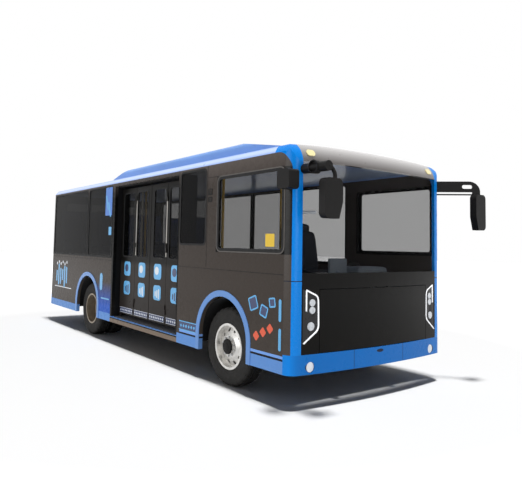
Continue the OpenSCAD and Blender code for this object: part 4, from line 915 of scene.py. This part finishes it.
tailRim = {"x": -6.6575, "y": 0.9, "z": (1.015, 0.868, 0.72), "size": (0.108, 0.13), "corner": 0.016, "thick": 0.004,
           "border": 0.014}
mesh = bmesh.new()
for sideName, sign in sides:
    for z in tailRim["z"]:
        part = bmesh.new()
        stamp(part, *tailRim["size"], tailRim["corner"], tailRim["thick"], origin, 0.0, -1, tailRim["border"])
        mergeInto(mesh, part, Matrix.Translation(spot(tailRim["x"], sign * tailRim["y"], z)) @ quarterBack)
finishPiece(mesh, "tailLampRims", "lampUnit", "coach")
print("stage: cab fittings made")

view = {"focal": 543.2844, "eye": (3.5866, -4.3713, 1.4422), "yaw": 2.517, "pitch": 0.0671, "roll": 0.0216,
        "centerX": 231.6949, "centerY": 209.1131, "imageW": 522, "imageH": 503, "sensor": 36.0, "clip": 300.0}
level = math.cos(view["pitch"])
forward = Vector((math.cos(view["yaw"]) * level, math.sin(view["yaw"]) * level, math.sin(view["pitch"])))
right = Vector((math.sin(view["yaw"]), -math.cos(view["yaw"]), 0))
up = right.cross(forward)
rolledRight = right * math.cos(view["roll"]) + up * math.sin(view["roll"])
rolledUp = up * math.cos(view["roll"]) - right * math.sin(view["roll"])
lensData = bpy.data.cameras.new("camera")
camera = bpy.data.objects.new("camera", lensData)
bpy.context.scene.collection.objects.link(camera)
aimed = Matrix((rolledRight, rolledUp, -forward)).transposed().to_4x4()
camera.matrix_world = Matrix.Translation(spot(*view["eye"])) @ aimed
lensData.sensor_fit = "HORIZONTAL"
lensData.sensor_width = view["sensor"]
lensData.lens = view["focal"] / view["imageW"] * view["sensor"]
lensData.shift_x = (view["imageW"] / 2 - view["centerX"]) / view["imageW"]
lensData.shift_y = (view["centerY"] - view["imageH"] / 2) / view["imageW"]
lensData.clip_end = view["clip"]
bpy.context.scene.camera = camera

studio = {"worldLight": 0.08, "floorHalf": 60.0, "floorTone": 0.93, "floorRough": 0.9, "glow": (4.5, 13.0)}
lampPlan = {"skyLight": ((8.0, -2.0, 60.0), (0.0, 0.0, 0.0), (5.0, 5.0), 35500.0),
            "sideFill": ((0.5, -12.0, 3.4), (-0.5, 0.0, 1.3), (12.0, 5.0), 620.0),
            "frontFill": ((14.0, -1.0, 3.2), (2.5, 0.0, 1.3), (7.0, 5.0), 380.0)}  # place, aim, size, watts


def softLamp(name, place, aim, size, power):
    data = bpy.data.lights.new(name, "AREA")
    data.shape = "RECTANGLE"
    data.size, data.size_y = size
    data.energy = power
    lamp = bpy.data.objects.new(name, data)
    bpy.context.scene.collection.objects.link(lamp)
    lamp.location = place
    lamp.rotation_euler = (Vector(aim) - Vector(place)).to_track_quat("-Z", "Y").to_euler()
    return lamp


def seenRay(tree):  # 1 where the camera, a reflection or clear glass looks
    path = tree.nodes.new("ShaderNodeLightPath").outputs
    through = calc(tree, "MAXIMUM", path["Is Glossy Ray"], path["Is Transmission Ray"])
    return calc(tree, "MAXIMUM", path["Is Camera Ray"], through)


def paleWorld():
    world = bpy.data.worlds.new("studio")
    bpy.context.scene.world = world
    world.use_nodes = True
    tree = world.node_tree
    sky = tree.nodes["Background"]
    tree.links.new(spread(tree, seenRay(tree), 0.0, 1.0, studio["worldLight"], 1.0), sky.inputs["Strength"])
    setInputs(sky, {"Color": (1, 1, 1, 1)})


def paleFloor():
    mesh = bmesh.new()
    bmesh.ops.create_grid(mesh, x_segments=1, y_segments=1, size=studio["floorHalf"])
    data = bpy.data.meshes.new("floor")
    mesh.to_mesh(data)
    mesh.free()
    ground = bpy.data.objects.new("studioFloor", data)
    bpy.context.scene.collection.objects.link(ground)
    finish, tree, shader = startFinish("studio_floor")
    setInputs(shader, {"Base Color": (*[studio["floorTone"]] * 3, 1), "Roughness": studio["floorRough"],
                       "Emission Color": (1, 1, 1, 1)})
    far = tree.nodes.new("ShaderNodeVectorMath")
    far.operation = "LENGTH"
    tree.links.new(objectCoords(tree), far.inputs[0])
    glow = spread(tree, far.outputs["Value"], *studio["glow"], 0.0, 1.0)
    tree.links.new(times(tree, seenRay(tree), glow), shader.inputs["Emission Strength"])
    data.materials.append(finish)
    return ground


studioLamps = {name: softLamp(name, *setting) for name, setting in lampPlan.items()}
paleWorld()
spared = bpy.data.collections.new("sparedFloor")  # the fills leave the floor's shadow alone
spared.objects.link(paleFloor())
spared.collection_objects[0].light_linking.link_state = "EXCLUDE"
for name in ("sideFill", "frontFill"):
    studioLamps[name].light_linking.receiver_collection = spared
bpy.context.scene.view_settings.view_transform = "Standard"
print("stage: camera and light set")
